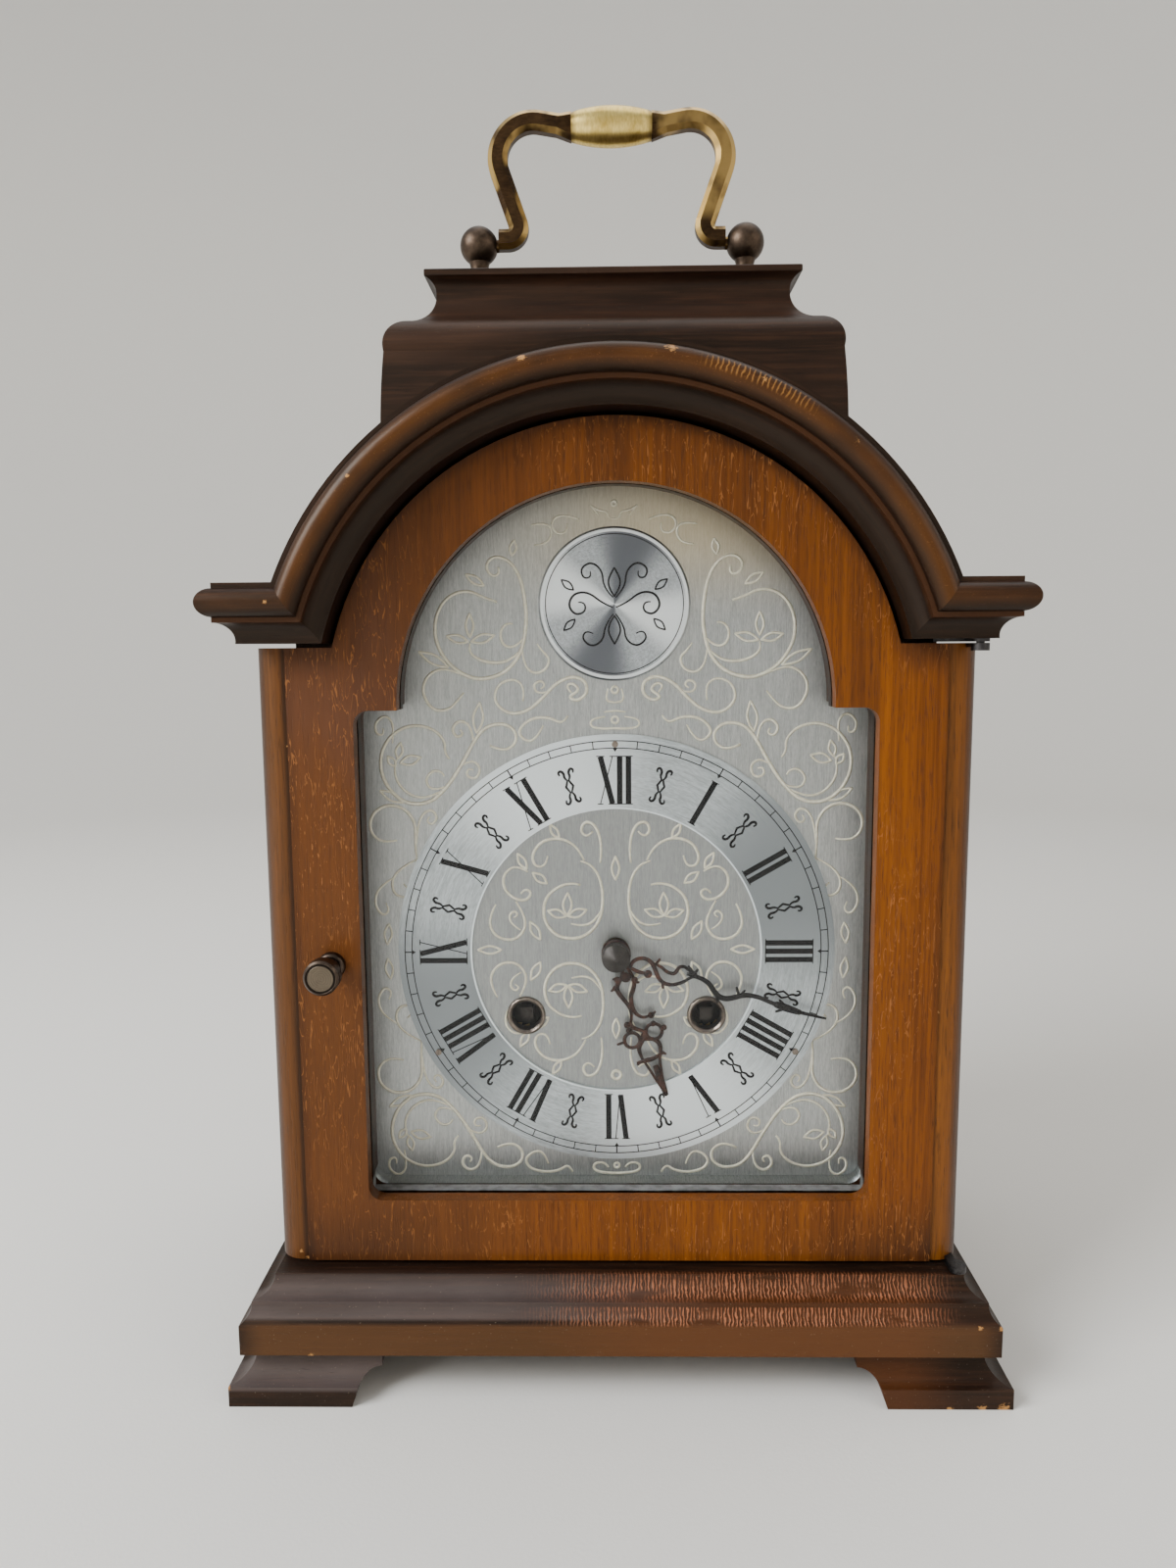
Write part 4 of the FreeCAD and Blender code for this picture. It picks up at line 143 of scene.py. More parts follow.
class Finish:
    """A material for the clock: constants go straight on its shader, and node() adds the rest."""

    def __init__(self, name, **constants):
        self.material = bpy.data.materials.new(name)
        self.material.use_nodes = True
        self.tree = self.material.node_tree
        self.shader = self.tree.nodes["Principled BSDF"]
        for socket, value in constants.items():
            self.shader.inputs[socket.replace("_", " ")].default_value = value
        self.place = self.node("ShaderNodeTexCoord", {}, {}, 3)
        self.x, self.y, self.z = (self.node("ShaderNodeSeparateXYZ", {}, {0: self.place}, axis)
                                  for axis in range(3))

    def node(self, kind, settings, inputs, output=0):
        made = self.tree.nodes.new(kind)
        for setting, value in settings.items():
            setattr(made, setting, value)
        for socket, value in inputs.items():
            if isinstance(value, Socket):
                self.tree.links.new(value.link, made.inputs[socket])
            else:
                made.inputs[socket].default_value = value
        return Socket(self, made.outputs[output])

    def vector(self, x, y, z):
        return self.node("ShaderNodeCombineXYZ", {}, {0: x, 1: y, 2: z})

    def noise(self, scale, detail=3.0, rough=0.5, twist=0.0, place=None):
        """Noise of so many grains a metre, one number or three, in object coordinates or in another place."""
        grains = scale if isinstance(scale, tuple) else (scale, scale, scale)
        put = self.node("ShaderNodeMapping", {}, {"Vector": place or self.place, "Scale": grains})
        return self.node("ShaderNodeTexNoise", {}, {"Vector": put, "Scale": 1.0, "Detail": detail,
                                                    "Roughness": rough, "Distortion": twist})

    def span(self, x, z):
        """Distance from the Y axis of two values."""
        return (x * x + z * z).root()

    def angle(self, middle_z):
        """Angle round a point on the clock's middle line, clockwise from the top, in radians."""
        return self.node("ShaderNodeMath", {"operation": "ARCTAN2"}, {0: self.x, 1: self.z - middle_z})

    def bump(self, height, depth):
        return self.node("ShaderNodeBump", {}, {"Height": height, "Distance": depth})

    def wear(self, **painted):
        for socket, value in painted.items():
            self.tree.links.new(value.link, self.shader.inputs[socket.replace("_", " ")])


bm = bmesh.new()
middle = bm.verts.new((0, 0, 0))
corner = bm.verts.new((WALL_RADIUS, 0, 0))
upper = bm.verts.new((WALL_RADIUS, 0, WALL_HEIGHT))
bm.edges.new((middle, corner))
bm.edges.new((corner, upper))
bmesh.ops.bevel(bm, geom=[corner], offset=SWEEP_RADIUS, segments=SWEEP_FACETS, profile=0.5, material=-1,
                affect="VERTICES")
bmesh.ops.spin(bm, geom=bm.verts[:] + bm.edges[:], cent=(0, 0, 0), axis=(0, 0, 1), angle=2 * math.pi,
               steps=ROUND_FACETS, use_merge=True)
bmesh.ops.remove_doubles(bm, verts=bm.verts, dist=0.0001)
bmesh.ops.recalc_face_normals(bm, faces=bm.faces)
for face in bm.faces:
    face.smooth = True
paper_sheet = mesh_object("paper_sheet", bm)
paper = Finish("studio_paper", Base_Color=SHEET_COLOUR, Roughness=0.9)
fibre = paper.noise(900)
paper.wear(Normal=paper.bump(fibre, 0.00005))
paper_sheet.data.materials.append(paper.material)

for name, place, width, power, colour in LIGHTS:
    lamp = bpy.data.lights.new(name, "AREA")
    lamp.size = width
    lamp.energy = power
    lamp.color = colour
    lamp_object = bpy.data.objects.new(name, lamp)
    aimed = (AIM - Vector(place)).to_track_quat("-Z", "Y").to_matrix().to_4x4()
    lamp_object.matrix_world = Matrix.Translation(place) @ aimed
    bpy.context.scene.collection.objects.link(lamp_object)

room = bpy.data.worlds.new("room")
room.use_nodes = True
sky = room.node_tree.nodes["Background"]
sky.inputs["Color"].default_value = SKY_COLOUR
sky.inputs["Strength"].default_value = SKY_STRENGTH
bpy.context.scene.world = room


# Plinth and bracket feet: dark polished walnut, moulded in long lengths and mitred at the corners.
# The front coves keep ripple marks of the cutter at the right, where the polish has worn red and painted
# highlights lie on the ripples' crests.
WALNUT_DARK = srgb(22, 13, 9)
WALNUT_MID = srgb(38, 23, 16)
WALNUT_LIGHT = srgb(84, 52, 32)
RIPPLE_RED_AND_GLINT = srgb(178, 110, 76)
CHIP_TAN = srgb(170, 122, 70)
PORE_BLACK = srgb(14, 8, 6)
PAINTED_WINDOW_SHEEN = srgb(96, 86, 84)
FASCIA_BROWN, WORN_BROWN, DUST_GREY = srgb(98, 64, 34), srgb(100, 56, 26), srgb(150, 132, 112)
POLISH_TINT = (1.0, 0.82, 0.64, 1)
WORN = (-0.035, 0.02), (0.106, 0.085)
RIPPLE_PITCH = 0.00115
PLINTH_FRONT = -0.058, -0.062
UPPER_COVE, LOWER_COVE = (0.0302, 0.0312), ((0.0244, 0.0250), (0.0292, 0.0286))
FASCIA, FASCIA_END = ((0.0252, 0.0242), (0.0140, 0.0150)), (0.1185, 0.1080)
HOLLOW_FOOT, HOLLOW_HEAD, SHEEN_SIDE = (0.0252, 0.0262), (0.0372, 0.0350), (0.045, -0.05)
FOOT_HOLLOW = (0.0045, 0.0060), (0.0130, 0.0120)
PLINTH_KNOCKS = ((0.1165, -0.0722, 0.0004, 0.0022), (0.110, -0.0724, 0.0002, 0.0016),
                 (0.100, -0.0724, 0.0002, 0.0013), (0.1158, -0.0694, 0.0243, 0.0012),
                 (0.1095, -0.0694, 0.0243, 0.0009), (-0.094, -0.0694, 0.0149, 0.001),
                 (-0.078, -0.0724, 0.0003, 0.001), (-0.119, -0.0722, 0.006, 0.0009))


def dress(finish, *names):
    """Gives CAD nodes their material."""
    for name in names:
        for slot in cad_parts[name].material_slots:
            slot.material = finish.material


def lengthwise(finish):
    """Object coordinates with the grain's run first: X on the front and back, Y on the two sides."""
    normal = finish.node("ShaderNodeNewGeometry", {}, {}, 1)
    facing = finish.node("ShaderNodeSeparateXYZ", {}, {0: normal}).size().ramp(0.6, 0.8)
    turned = finish.vector(finish.y, finish.x, finish.z)
    return finish.node("ShaderNodeMix", {"data_type": "VECTOR"}, {0: facing, 4: finish.place, 5: turned}, 1)


def walnut_figure(finish, run):
    """Dark polished walnut: slow bands, fine streaks and short open pores along the run of the grain."""
    bands = finish.noise((14, 75, 75), 4.0, 0.55, 0.6, run)
    streaks = finish.noise((35, 900, 900), 4.0, 0.6, place=run)
    pores = finish.noise((260, 3200, 3200), 2.0, place=run).ramp(0.62, 0.74)
    colour = bands.ramp(0.30, 0.80).mix(WALNUT_DARK, WALNUT_MID)
    colour = (streaks.ramp(0.42, 0.78) * 0.28).mix(colour, WALNUT_LIGHT)
    return (pores * 0.6).mix(colour, PORE_BLACK), streaks, pores


def polished(name, coat, coat_rough, gloss):
    """Polished wood: a thin clear coat over a weak warm gloss."""
    return Finish(name, Coat_Weight=coat, Coat_Roughness=coat_rough, Specular_IOR_Level=gloss,
                  Specular_Tint=POLISH_TINT)


def chips(finish, colour, marks):
    """Small knocks that show bare wood: each mark is a place and its reach, in metres."""
    ragged = finish.noise((900, 1500, 1500), 4.0, 0.8)
    for x, y, z, reach in marks:
        inputs = {0: finish.place, 1: (x, y, z)}
        away = finish.node("ShaderNodeVectorMath", {"operation": "DISTANCE"}, inputs, 1)
        colour = (away + (ragged - 0.42) * (reach * 3.2)).ramp(reach, reach * 0.7).mix(colour, CHIP_TAN)
    return colour


base_walnut = polished("base_walnut", 0.06, 0.2, 0.2)
x, y, z = base_walnut.x, base_walnut.y, base_walnut.z
colour, streaks, pores = walnut_figure(base_walnut, lengthwise(base_walnut))
facing_front = y.ramp(*PLINTH_FRONT)
worn = x.between(*WORN) * facing_front
coves = (z.ramp(*UPPER_COVE) + z.between(*LOWER_COVE)).least(1.0)
wobble = base_walnut.noise((600, 600, 200))
ripple = (x * (2 * math.pi / RIPPLE_PITCH) + wobble * 11.0).wave()
sheen_bloom = base_walnut.noise((40, 60, 160))
cut = worn * coves * base_walnut.noise((90, 90, 420)).ramp(0.30, 0.52)
fascia = z.between(*FASCIA) * facing_front
colour = (fascia * x.size().ramp(*FASCIA_END) * 0.5).mix(colour, FASCIA_BROWN)
colour = (worn * 0.4).mix(colour, WORN_BROWN)
hollows = (z.ramp(*HOLLOW_FOOT) + z.between(*FOOT_HOLLOW)).least(1.0) * z.ramp(*HOLLOW_HEAD)
# Painted sheen: a pale grey haze of window light painted on the front hollows at the left.
painted_sheen = hollows * facing_front * x.ramp(*SHEEN_SIDE)
colour = (painted_sheen * (0.34 + sheen_bloom * 0.3)).mix(colour, PAINTED_WINDOW_SHEEN)
# Worn red polish on the cutter's ripples, with a painted highlight brightest on their crests.
colour = (cut * ripple.ramp(0.1, 0.8) * 0.75).mix(colour, RIPPLE_RED_AND_GLINT)
dust = base_walnut.noise(1500, 2.0).ramp(0.70, 0.76)
colour = (dust * 0.35).mix(colour, DUST_GREY)
base_walnut.wear(Base_Color=chips(base_walnut, colour, PLINTH_KNOCKS),
                 Roughness=0.34 + streaks * 0.2 + pores * 0.2,
                 Normal=base_walnut.bump(cut * ripple * 0.8 - pores * 0.25 + streaks * 0.15, 0.00025))
dress(base_walnut, "base_plinth", "bracket_feet")


# Case: two veneered sides, a front and a rear frame and a roof bent over them, all glued up as one box.
# The veneer runs upright and is stained a shade darker than the door.
CASE_DARK = srgb(38, 23, 15)
CASE_LIGHT = srgb(76, 46, 27)
CASE_FLECK = srgb(26, 15, 10)


def upright_figure(finish, run, dark, light, deep):
    """Straight-grained veneer along Z of its run: streaks, short dark flecks and fine open pores."""
    bands = finish.noise((95, 95, 4), twist=0.3, place=run)
    streaks = finish.noise((900, 900, 22), 4.0, 0.6, place=run)
    flecks = finish.noise((1300, 1300, 85), rough=0.6, place=run).ramp(0.54, 0.70)
    pores = finish.noise((2600, 2600, 150), 2.0, place=run).ramp(0.58, 0.70)
    colour = (bands.ramp(0.3, 0.7) * 0.45 + streaks.ramp(0.3, 0.7) * 0.55).mix(dark, light)
    return (flecks * 0.42 + pores * 0.45).least(0.8).mix(colour, deep), streaks, pores


def veneered(name, run, *nodes):
    """The case's own veneer, with its grain along Z of its run."""
    finish = polished(name, 0.08, 0.22, 0.25)
    colour, streaks, pores = upright_figure(finish, run(finish), CASE_DARK, CASE_LIGHT, CASE_FLECK)
    finish.wear(Base_Color=colour, Roughness=0.4 + streaks * 0.15 + pores * 0.15,
                Normal=finish.bump(streaks * 0.2 - pores * 0.4, 0.0001))
    dress(finish, *nodes)


veneered("case_veneer", lambda finish: finish.place,
         "case_sides", "front_frame", "rear_frame", "rear_door_panel")
veneered("roof_veneer", lambda finish: finish.vector(finish.x, finish.z, finish.y), "roof")


# Hood: an arched moulding with two ears, mitred together and pinned over the front of the case.
# Its large half round is golden brown along the crest, partly rubbed and partly a painted highlight with
# painted glints; painted shade darkens its underside, and a few knocks show bare wood.
ARCH_Z = 0.2096
EAR_Z = 0.2314
HOOD_RADIUS = 0.0874
TORUS_MIDDLE = 0.0116
GOLDEN_WEAR_AND_HIGHLIGHT = srgb(96, 56, 18)
PAINTED_SHADE_BLACK = srgb(17, 9, 5)
PAINTED_GLINT_TAN, BEAD_BROWN, CHATTER_TAN = srgb(150, 104, 60), srgb(92, 52, 24), srgb(170, 118, 58)
CREST_REACH, CREST_FRONT = (0.0044, 0.0004), (-0.0655, -0.0700)
SHADE_UNDER_CREST = 0.0112, 0.0085
BEAD, BEAD_FRONT = ((0.0055, 0.0062), (0.0077, 0.0072)), (-0.064, -0.066)
CHATTER_TURNS = 420.0
CHATTER_ARC, CHATTER_RISE = ((0.22, 0.30), (0.60, 0.52)), ((0.0105, 0.0120), (0.0150, 0.0140))
CHATTER_FRONT = -0.064, -0.067
ARCH_KNOCKS = ((0.0155, -0.0698, 0.3100, 0.0021), (-0.0252, -0.0702, 0.3078, 0.0016),
               (0.0405, -0.0705, 0.3012, 0.0012), (0.0660, -0.0705, 0.2848, 0.0011),
               (-0.0735, -0.071, 0.2770, 0.0008))
EAR_KNOCKS = ((-0.1165, -0.0690, 0.2475, 0.0012), (0.1172, -0.0690, 0.2382, 0.0009),
              (-0.098, -0.0712, 0.2430, 0.0008))


def polished_hood(name, height, run, gold):
    """Hood walnut: nearly black under the half round as painted shade, golden by a share on its crest as
    rubbing and painted highlight, with painted glints.
    """
    finish = polished(name, 0.07, 0.16, 0.2)
    rise = height(finish)
    colour, streaks, pores = walnut_figure(finish, run(finish))
    patch = finish.noise(28, 3.0, 0.6)
    off_crest = (rise - TORUS_MIDDLE).size()
    rubbed_and_lit_crest = off_crest.ramp(*CREST_REACH) * finish.y.ramp(*CREST_FRONT) * patch.ramp(0.22, 0.60)
    painted_glints = finish.noise(1800, 2.0, 0.7).ramp(0.60, 0.75)
    # Painted shade: the underside of the half round and the hollow below it darkened nearly to black.
    colour = (rise.ramp(*SHADE_UNDER_CREST) * 0.6).mix(colour, PAINTED_SHADE_BLACK)
    # Golden crest, partly rubbed wear and partly a painted highlight; painted glints over it.
    colour = (rubbed_and_lit_crest * gold).mix(colour, GOLDEN_WEAR_AND_HIGHLIGHT)
    colour = (rubbed_and_lit_crest * painted_glints * gold * 0.6).mix(colour, PAINTED_GLINT_TAN)
    bead = rise.between(*BEAD) * finish.y.ramp(*BEAD_FRONT)
    return finish, (bead * 0.3).mix(colour, BEAD_BROWN), streaks, pores


def waxed(finish, colour, rough, streaks, pores, relief=None):
    """Ends a walnut finish: the streaks stand a little proud, and the pores are open and dull."""
    height = streaks * 0.2 - pores * 0.3
    finish.wear(Base_Color=colour, Roughness=rough + streaks * 0.2 + pores * 0.15,
                Normal=finish.bump(height + relief if relief else height, 0.00012))


def arch_rise(finish):
    return finish.span(finish.x, finish.z - ARCH_Z) - HOOD_RADIUS


def arch_run(finish):
    """Round the arch in metres, then across it."""
    return finish.vector(finish.angle(ARCH_Z) * HOOD_RADIUS, finish.y, arch_rise(finish))


hood_walnut, colour, *grain = polished_hood("hood_walnut", arch_rise, arch_run, 0.5)
angle = hood_walnut.angle(ARCH_Z)
chatter = (angle * CHATTER_TURNS + hood_walnut.noise(500, 2.0) * 5.0).wave().ramp(0.3, 0.9)
rubbed = (angle.between(*CHATTER_ARC) * arch_rise(hood_walnut).between(*CHATTER_RISE)
          * hood_walnut.y.ramp(*CHATTER_FRONT))
colour = (chatter * rubbed * 0.45).mix(colour, CHATTER_TAN)
waxed(hood_walnut, chips(hood_walnut, colour, ARCH_KNOCKS), 0.3, *grain, chatter * rubbed * 0.6)
dress(hood_walnut, "hood_arch")

ear_walnut, colour, *grain = polished_hood("ear_walnut", lambda finish: finish.z - EAR_Z, lengthwise, 0.22)
waxed(ear_walnut, chips(ear_walnut, colour, EAR_KNOCKS), 0.32, *grain)
dress(ear_walnut, "hood_ears")


# Caddy: a block with a round shoulder and a hollow neck, and a moulded board on top of it.
# The same dark walnut, with slow brown bands and a little dust in the hollow.
CADDY_BROWN, CADDY_DUST = srgb(66, 44, 32), srgb(150, 118, 84)
NECK = (0.322, 0.327), (0.335, 0.330)
CADDY_KNOCKS = ((0.0045, -0.0385, 0.3262, 0.0008), (-0.009, -0.036, 0.3300, 0.0006))

caddy_walnut = polished("caddy_walnut", 0.06, 0.22, 0.2)
colour, *grain = walnut_figure(caddy_walnut, lengthwise(caddy_walnut))
brown = caddy_walnut.noise((9, 30, 60), 2.0)
hollow = caddy_walnut.z.between(*NECK)
colour = (brown.ramp(0.45, 0.75) * 0.42 + hollow * 0.18).least(1.0).mix(colour, CADDY_BROWN)
specks = caddy_walnut.noise(1400, 2.0).ramp(0.73, 0.78)
colour = (specks * hollow * 0.6).mix(colour, CADDY_DUST)
waxed(caddy_walnut, chips(caddy_walnut, colour, CADDY_KNOCKS), 0.36, *grain)
dress(caddy_walnut, "caddy_block", "caddy_top_board")


# Door: a veneered frame with a break-arch window, its grain upright all round, and a moulded strip
# glued to each side. The polish is golden at the right and browner in the low corners; painted shade
# browns the left and darkens the door under the hood and along its outer edges.
DOOR_DARK = srgb(40, 22, 13)
DOOR_MID = srgb(86, 43, 8)
DOOR_LIGHT = srgb(132, 72, 14)
DOOR_LEFT_SHADE = srgb(82, 48, 24)
PAINTED_MAUVE_SHEEN = srgb(86, 56, 44)
DOOR_FLECK = srgb(58, 28, 12)
ARCH_EDGE = 0.0820, 0.0874
STILE_EDGE = 0.0945, 0.0978
SILL_HEAD, SILL_END = (0.0572, 0.0585), (0.0790, 0.0775)
ARCH_SPRING = 0.008, 0.02
SHADED_SIDE = 0.010, -0.075
LOW_CORNER_Z, LOW_CORNER_X = (0.062, 0.0375), (0.035, 0.09)
SHEEN_FOOT = 0.14, 0.21
CRACK_WIDTH = 0.014, 0.006
SCRATCHED_X, SCRATCHED_Z = (-0.070, -0.080), ((0.135, 0.150), (0.205, 0.180))
BARE_WOOD, CRACK_TAN = srgb(184, 120, 66), srgb(176, 112, 58)

door_veneer = polished("door_veneer", 0.08, 0.18, 0.17)
x, z, off_middle = door_veneer.x, door_veneer.z, door_veneer.x.size()
colour, streaks, pores = upright_figure(door_veneer, door_veneer.place, DOOR_MID, DOOR_LIGHT, DOOR_FLECK)
above = (z - ARCH_Z).most(0.0)
in_arch = above.ramp(*ARCH_SPRING)
# Painted shade: darker under the hood round the arch and along the stiles' outer edges.
edge = (in_arch * door_veneer.span(x, above).ramp(*ARCH_EDGE) * 0.8
        + (1.0 - in_arch) * off_middle.ramp(*STILE_EDGE) * 0.5)
cloud = door_veneer.noise((22, 22, 12))
# Painted shade: the left side browned where less light falls.
left = x.ramp(*SHADED_SIDE)
colour = (left * 0.78 + (cloud - 0.5) * 0.3).least(1.0).most(0.0).mix(colour, DOOR_LEFT_SHADE)
low = z.ramp(*LOW_CORNER_Z) * off_middle.ramp(*LOW_CORNER_X)
sill = z.ramp(*SILL_HEAD) * off_middle.ramp(*SILL_END)
# Painted shade at the edges, with darker low corners, a darker band above the sill and random tone.
painted_shade_and_tone = (edge * 0.7 + low * 0.55 + sill * 0.3 + (cloud - 0.5) * 0.4).least(1.0).most(0.0)
colour = painted_shade_and_tone.mix(colour, DOOR_DARK)
# Painted sheen: a mauve sheen painted in clouds on the upper left.
colour = (left * cloud.ramp(0.45, 0.75) * z.ramp(*SHEEN_FOOT) * 0.5).mix(colour, PAINTED_MAUVE_SHEEN)
veins = door_veneer.noise((520, 520, 75), 2.0, twist=0.9)
cracks = (veins - 0.5).size().ramp(*CRACK_WIDTH) * cloud.ramp(0.42, 0.58)
colour = (cracks * 0.4).mix(colour, CRACK_TAN)
scratches = door_veneer.noise((1500, 1500, 260), 3.0, 0.7).ramp(0.60, 0.70)
scratched = scratches * x.ramp(*SCRATCHED_X) * z.between(*SCRATCHED_Z)
door_veneer.wear(Base_Color=(scratched * 0.5).mix(colour, BARE_WOOD),
                 Roughness=0.3 + streaks * 0.15 + pores * 0.2,
                 Normal=door_veneer.bump(streaks * 0.25 - pores * 0.4 + cracks * 0.6, 0.00015))
dress(door_veneer, "door_frame")

STRIP_DARK, STRIP_LIGHT, STRIP_FLECK = srgb(80, 45, 14), srgb(126, 73, 20), srgb(36, 20, 10)
STRIP_LEFT_SHADE, STRIP_EDGE_SHADE = srgb(62, 38, 20), srgb(38, 22, 14)
STRIP_LEFT, STRIP_OUTER, STRIP_INNER = (0.02, -0.02), (0.1025, 0.1070), (0.1003, 0.0985)
STRIP_KNOCKS = ((-0.0983, -0.0541, 0.0376, 0.0012), (-0.1005, -0.0541, 0.0402, 0.0007),
                (-0.0982, -0.0541, 0.2010, 0.0005), (0.0982, -0.0541, 0.118, 0.0006))

strip_walnut = polished("strip_walnut", 0.08, 0.18, 0.22)
colour, streaks, pores = upright_figure(strip_walnut, strip_walnut.place,
                                        STRIP_DARK, STRIP_LIGHT, STRIP_FLECK)
across = strip_walnut.x.size()
# Painted shade: the left strip browner, both strips dark where the round-over turns away, and the left one
# dark in the groove beside the door.
left = strip_walnut.x.ramp(*STRIP_LEFT)
colour = (left * 0.5).mix(colour, STRIP_LEFT_SHADE)
shaded_strip_edges = (across.ramp(*STRIP_OUTER) * 0.8 + across.ramp(*STRIP_INNER) * left * 0.75).least(1.0)
colour = shaded_strip_edges.mix(colour, STRIP_EDGE_SHADE)
strip_walnut.wear(Base_Color=chips(strip_walnut, colour, STRIP_KNOCKS), Roughness=0.34 + streaks * 0.15,
                  Normal=strip_walnut.bump(streaks * 0.2 - pores * 0.4, 0.00012))
dress(strip_walnut, "door_left_moulding", "door_right_moulding")


# Window: a sheet of clear glass let into the back of the door, held by a thin dark fillet. A pale
# painted highlight lies along the fillet's bottom.
GLASS_BEND = 1.22
FILLET_DARK, FILLET_LIGHT, FILLET_HIGHLIGHT = srgb(40, 27, 20), srgb(66, 47, 36), srgb(176, 178, 178)
FILLET_FOOT = 0.0625, 0.0605

glazing = Finish("glazing", Base_Color=(1, 1, 1, 1), Transmission_Weight=1.0, IOR=GLASS_BEND, Roughness=0.0)
smear = glazing.noise((60, 60, 25), 4.0, 0.6)
glazing.wear(Roughness=smear.ramp(0.62, 0.9) * 0.05)
dress(glazing, "door_glass")

fillet = Finish("dark_fillet", Roughness=0.45, Specular_IOR_Level=0.3)
rubbing = fillet.noise(300).ramp(0.3, 0.7)
fillet_highlight = fillet.z.ramp(*FILLET_FOOT) * (0.35 + rubbing * 0.35)
fillet.wear(Base_Color=fillet_highlight.mix(rubbing.mix(FILLET_DARK, FILLET_LIGHT), FILLET_HIGHLIGHT))
dress(fillet, "glass_retainer")


# Fittings: turned knobs and ball heads of the handle posts in dark bronze, ring pins and winding collars in
# dull pewter, the front door's pivot leaves in dark steel, catch, strike and rear hinges in dull brass.
def aged_metal(name, dark, light, rough, grain, amount=0.5):
    """Metal with a clouded skin: darker where it has turned, brighter where it is handled."""
    finish = Finish(name, Metallic=1.0)
    cloud = finish.noise(180, 4.0, 0.6)
    fine = finish.noise(grain, 3.0, 0.6)
    bright = cloud.ramp(0.3, 0.7) * (1 - amount) + fine.ramp(0.3, 0.7) * amount
    colour = bright.mix(srgb(*dark), srgb(*light))
    finish.wear(Base_Color=colour, Roughness=rough + cloud * 0.18, Normal=finish.bump(fine, 0.00003))
    return finish, colour, cloud


def fitting(nodes, *metal):
    """CAD nodes of one plain metal."""
    dress(aged_metal(*metal)[0], *nodes)


fitting(("handle_posts", "rear_door_knob"), "dark_bronze", (62, 51, 43), (86, 72, 60), 0.34, 900)
fitting(("winding_grommets", "ring_pins"), "collar_pewter", (92, 82, 74), (150, 138, 126), 0.28, 1200)
fitting(("door_strike_plate", "door_catch", "rear_case_leaves", "rear_door_leaves"), "hinge_brass",
        (84, 70, 52), (148, 128, 96), 0.34, (2500, 400, 2500))
fitting(("case_hinge_leaves", "door_hinge_leaves"), "pivot_steel", (44, 42, 42), (86, 84, 84), 0.36, 1200)

KNOB_X, KNOB_Z, KNOB_FACE = -0.0871, 0.1336, (-0.0675, -0.0684)
INSET_REACH, GROOVE = (0.0040, 0.0037), ((0.0046, 0.0044), (0.0037, 0.0040))
TURNING_MARKS = 9000.0
INSET_WORN, GROOVE_BLACK = srgb(104, 94, 80), srgb(20, 17, 15)

knob_metal, colour, _ = aged_metal("knob_bronze", (48, 40, 36), (88, 76, 66), 0.28, 900)
face = knob_metal.y.ramp(*KNOB_FACE)
off_axis = knob_metal.span(knob_metal.x - KNOB_X, knob_metal.z - KNOB_Z)
turning = (off_axis * TURNING_MARKS).wave()
inset = off_axis.ramp(*INSET_REACH)
groove = off_axis.between(*GROOVE)
colour = (face * inset * 0.85).mix(colour, INSET_WORN)
knob_metal.wear(Base_Color=(face * groove * 0.9).mix(colour, GROOVE_BLACK),
                Normal=knob_metal.bump(turning * face * inset * 0.2 - groove * face, 0.0001))
dress(knob_metal, "door_knob")


# Handle: cast arms of square wire and a turned grip, in brass gone brown. The grip is bright; the bevels are
# bright as rubbed brass and painted highlight, and the flats and the bends stay dark.
LIT_BEVEL = (0.25, 0.5), (0.97, 0.85)
RUBBED_SIDE, RUBBED_TOP = (0.0, 0.02), (0.366, 0.372)
RUBBED_AND_LIT_BRASS, GRIP_BROWN = srgb(214, 178, 108), srgb(96, 72, 44)
GRIP_END = 0.0110, 0.0128

handle_brass, colour, cloud = aged_metal("handle_brass", (44, 33, 24), (80, 60, 40), 0.27, (500, 500, 1500))
normal = handle_brass.node("ShaderNodeNewGeometry", {}, {}, 1)
flat_front = handle_brass.node("ShaderNodeSeparateXYZ", {}, {0: normal}, 1).size()
# Painted highlight, with rubbing: faces turned half to the front are painted bright brass.
bevel = flat_front.between(*LIT_BEVEL)
wornness = handle_brass.noise((90, 90, 60))
by_the_thumb = handle_brass.x.ramp(*RUBBED_SIDE) * handle_brass.z.ramp(*RUBBED_TOP)
bright = (bevel * wornness.ramp(0.40, 0.60) + by_the_thumb * wornness.ramp(0.42, 0.62) * 0.6).least(1.0)
handle_brass.wear(Base_Color=(bright * 0.85).mix(colour, RUBBED_AND_LIT_BRASS),
                  Roughness=0.36 - bright * 0.12 + cloud * 0.12)
dress(handle_brass, "handle_arms")

grip_brass, colour, _ = aged_metal("grip_brass", (198, 166, 84), (246, 220, 136), 0.24, (1500, 500, 500))
ends = grip_brass.x.size().ramp(*GRIP_END)
grip_brass.wear(Base_Color=(ends * 0.7).mix(colour, GRIP_BROWN))
dress(grip_brass, "handle_grip")


# Dial plate: a thin sheet of silvered metal, brushed straight up and down, with a scroll pattern
# printed in cream. It is screwed to the back of the front frame.
DIAL_Z = 0.1326
PLATE_Y = -0.0355
RING_Y = -0.0365
SILVER_DARK = srgb(152, 155, 154)
SILVER_LIGHT = srgb(200, 203, 200)
PAINTED_WARM_REFLECTION, INNER_GREY = srgb(216, 194, 140), srgb(120, 124, 125)
REFLECTION_FOOT, REFLECTION_SIDE = (0.236, 0.268), (-0.06, 0.03)
BRUSHING = 2600, 2600, 150
MEAN_RADIUS = 0.06
RING_BORE = 0.0478, 0.0468
RIM_LINE = 0.0006, 0.0004


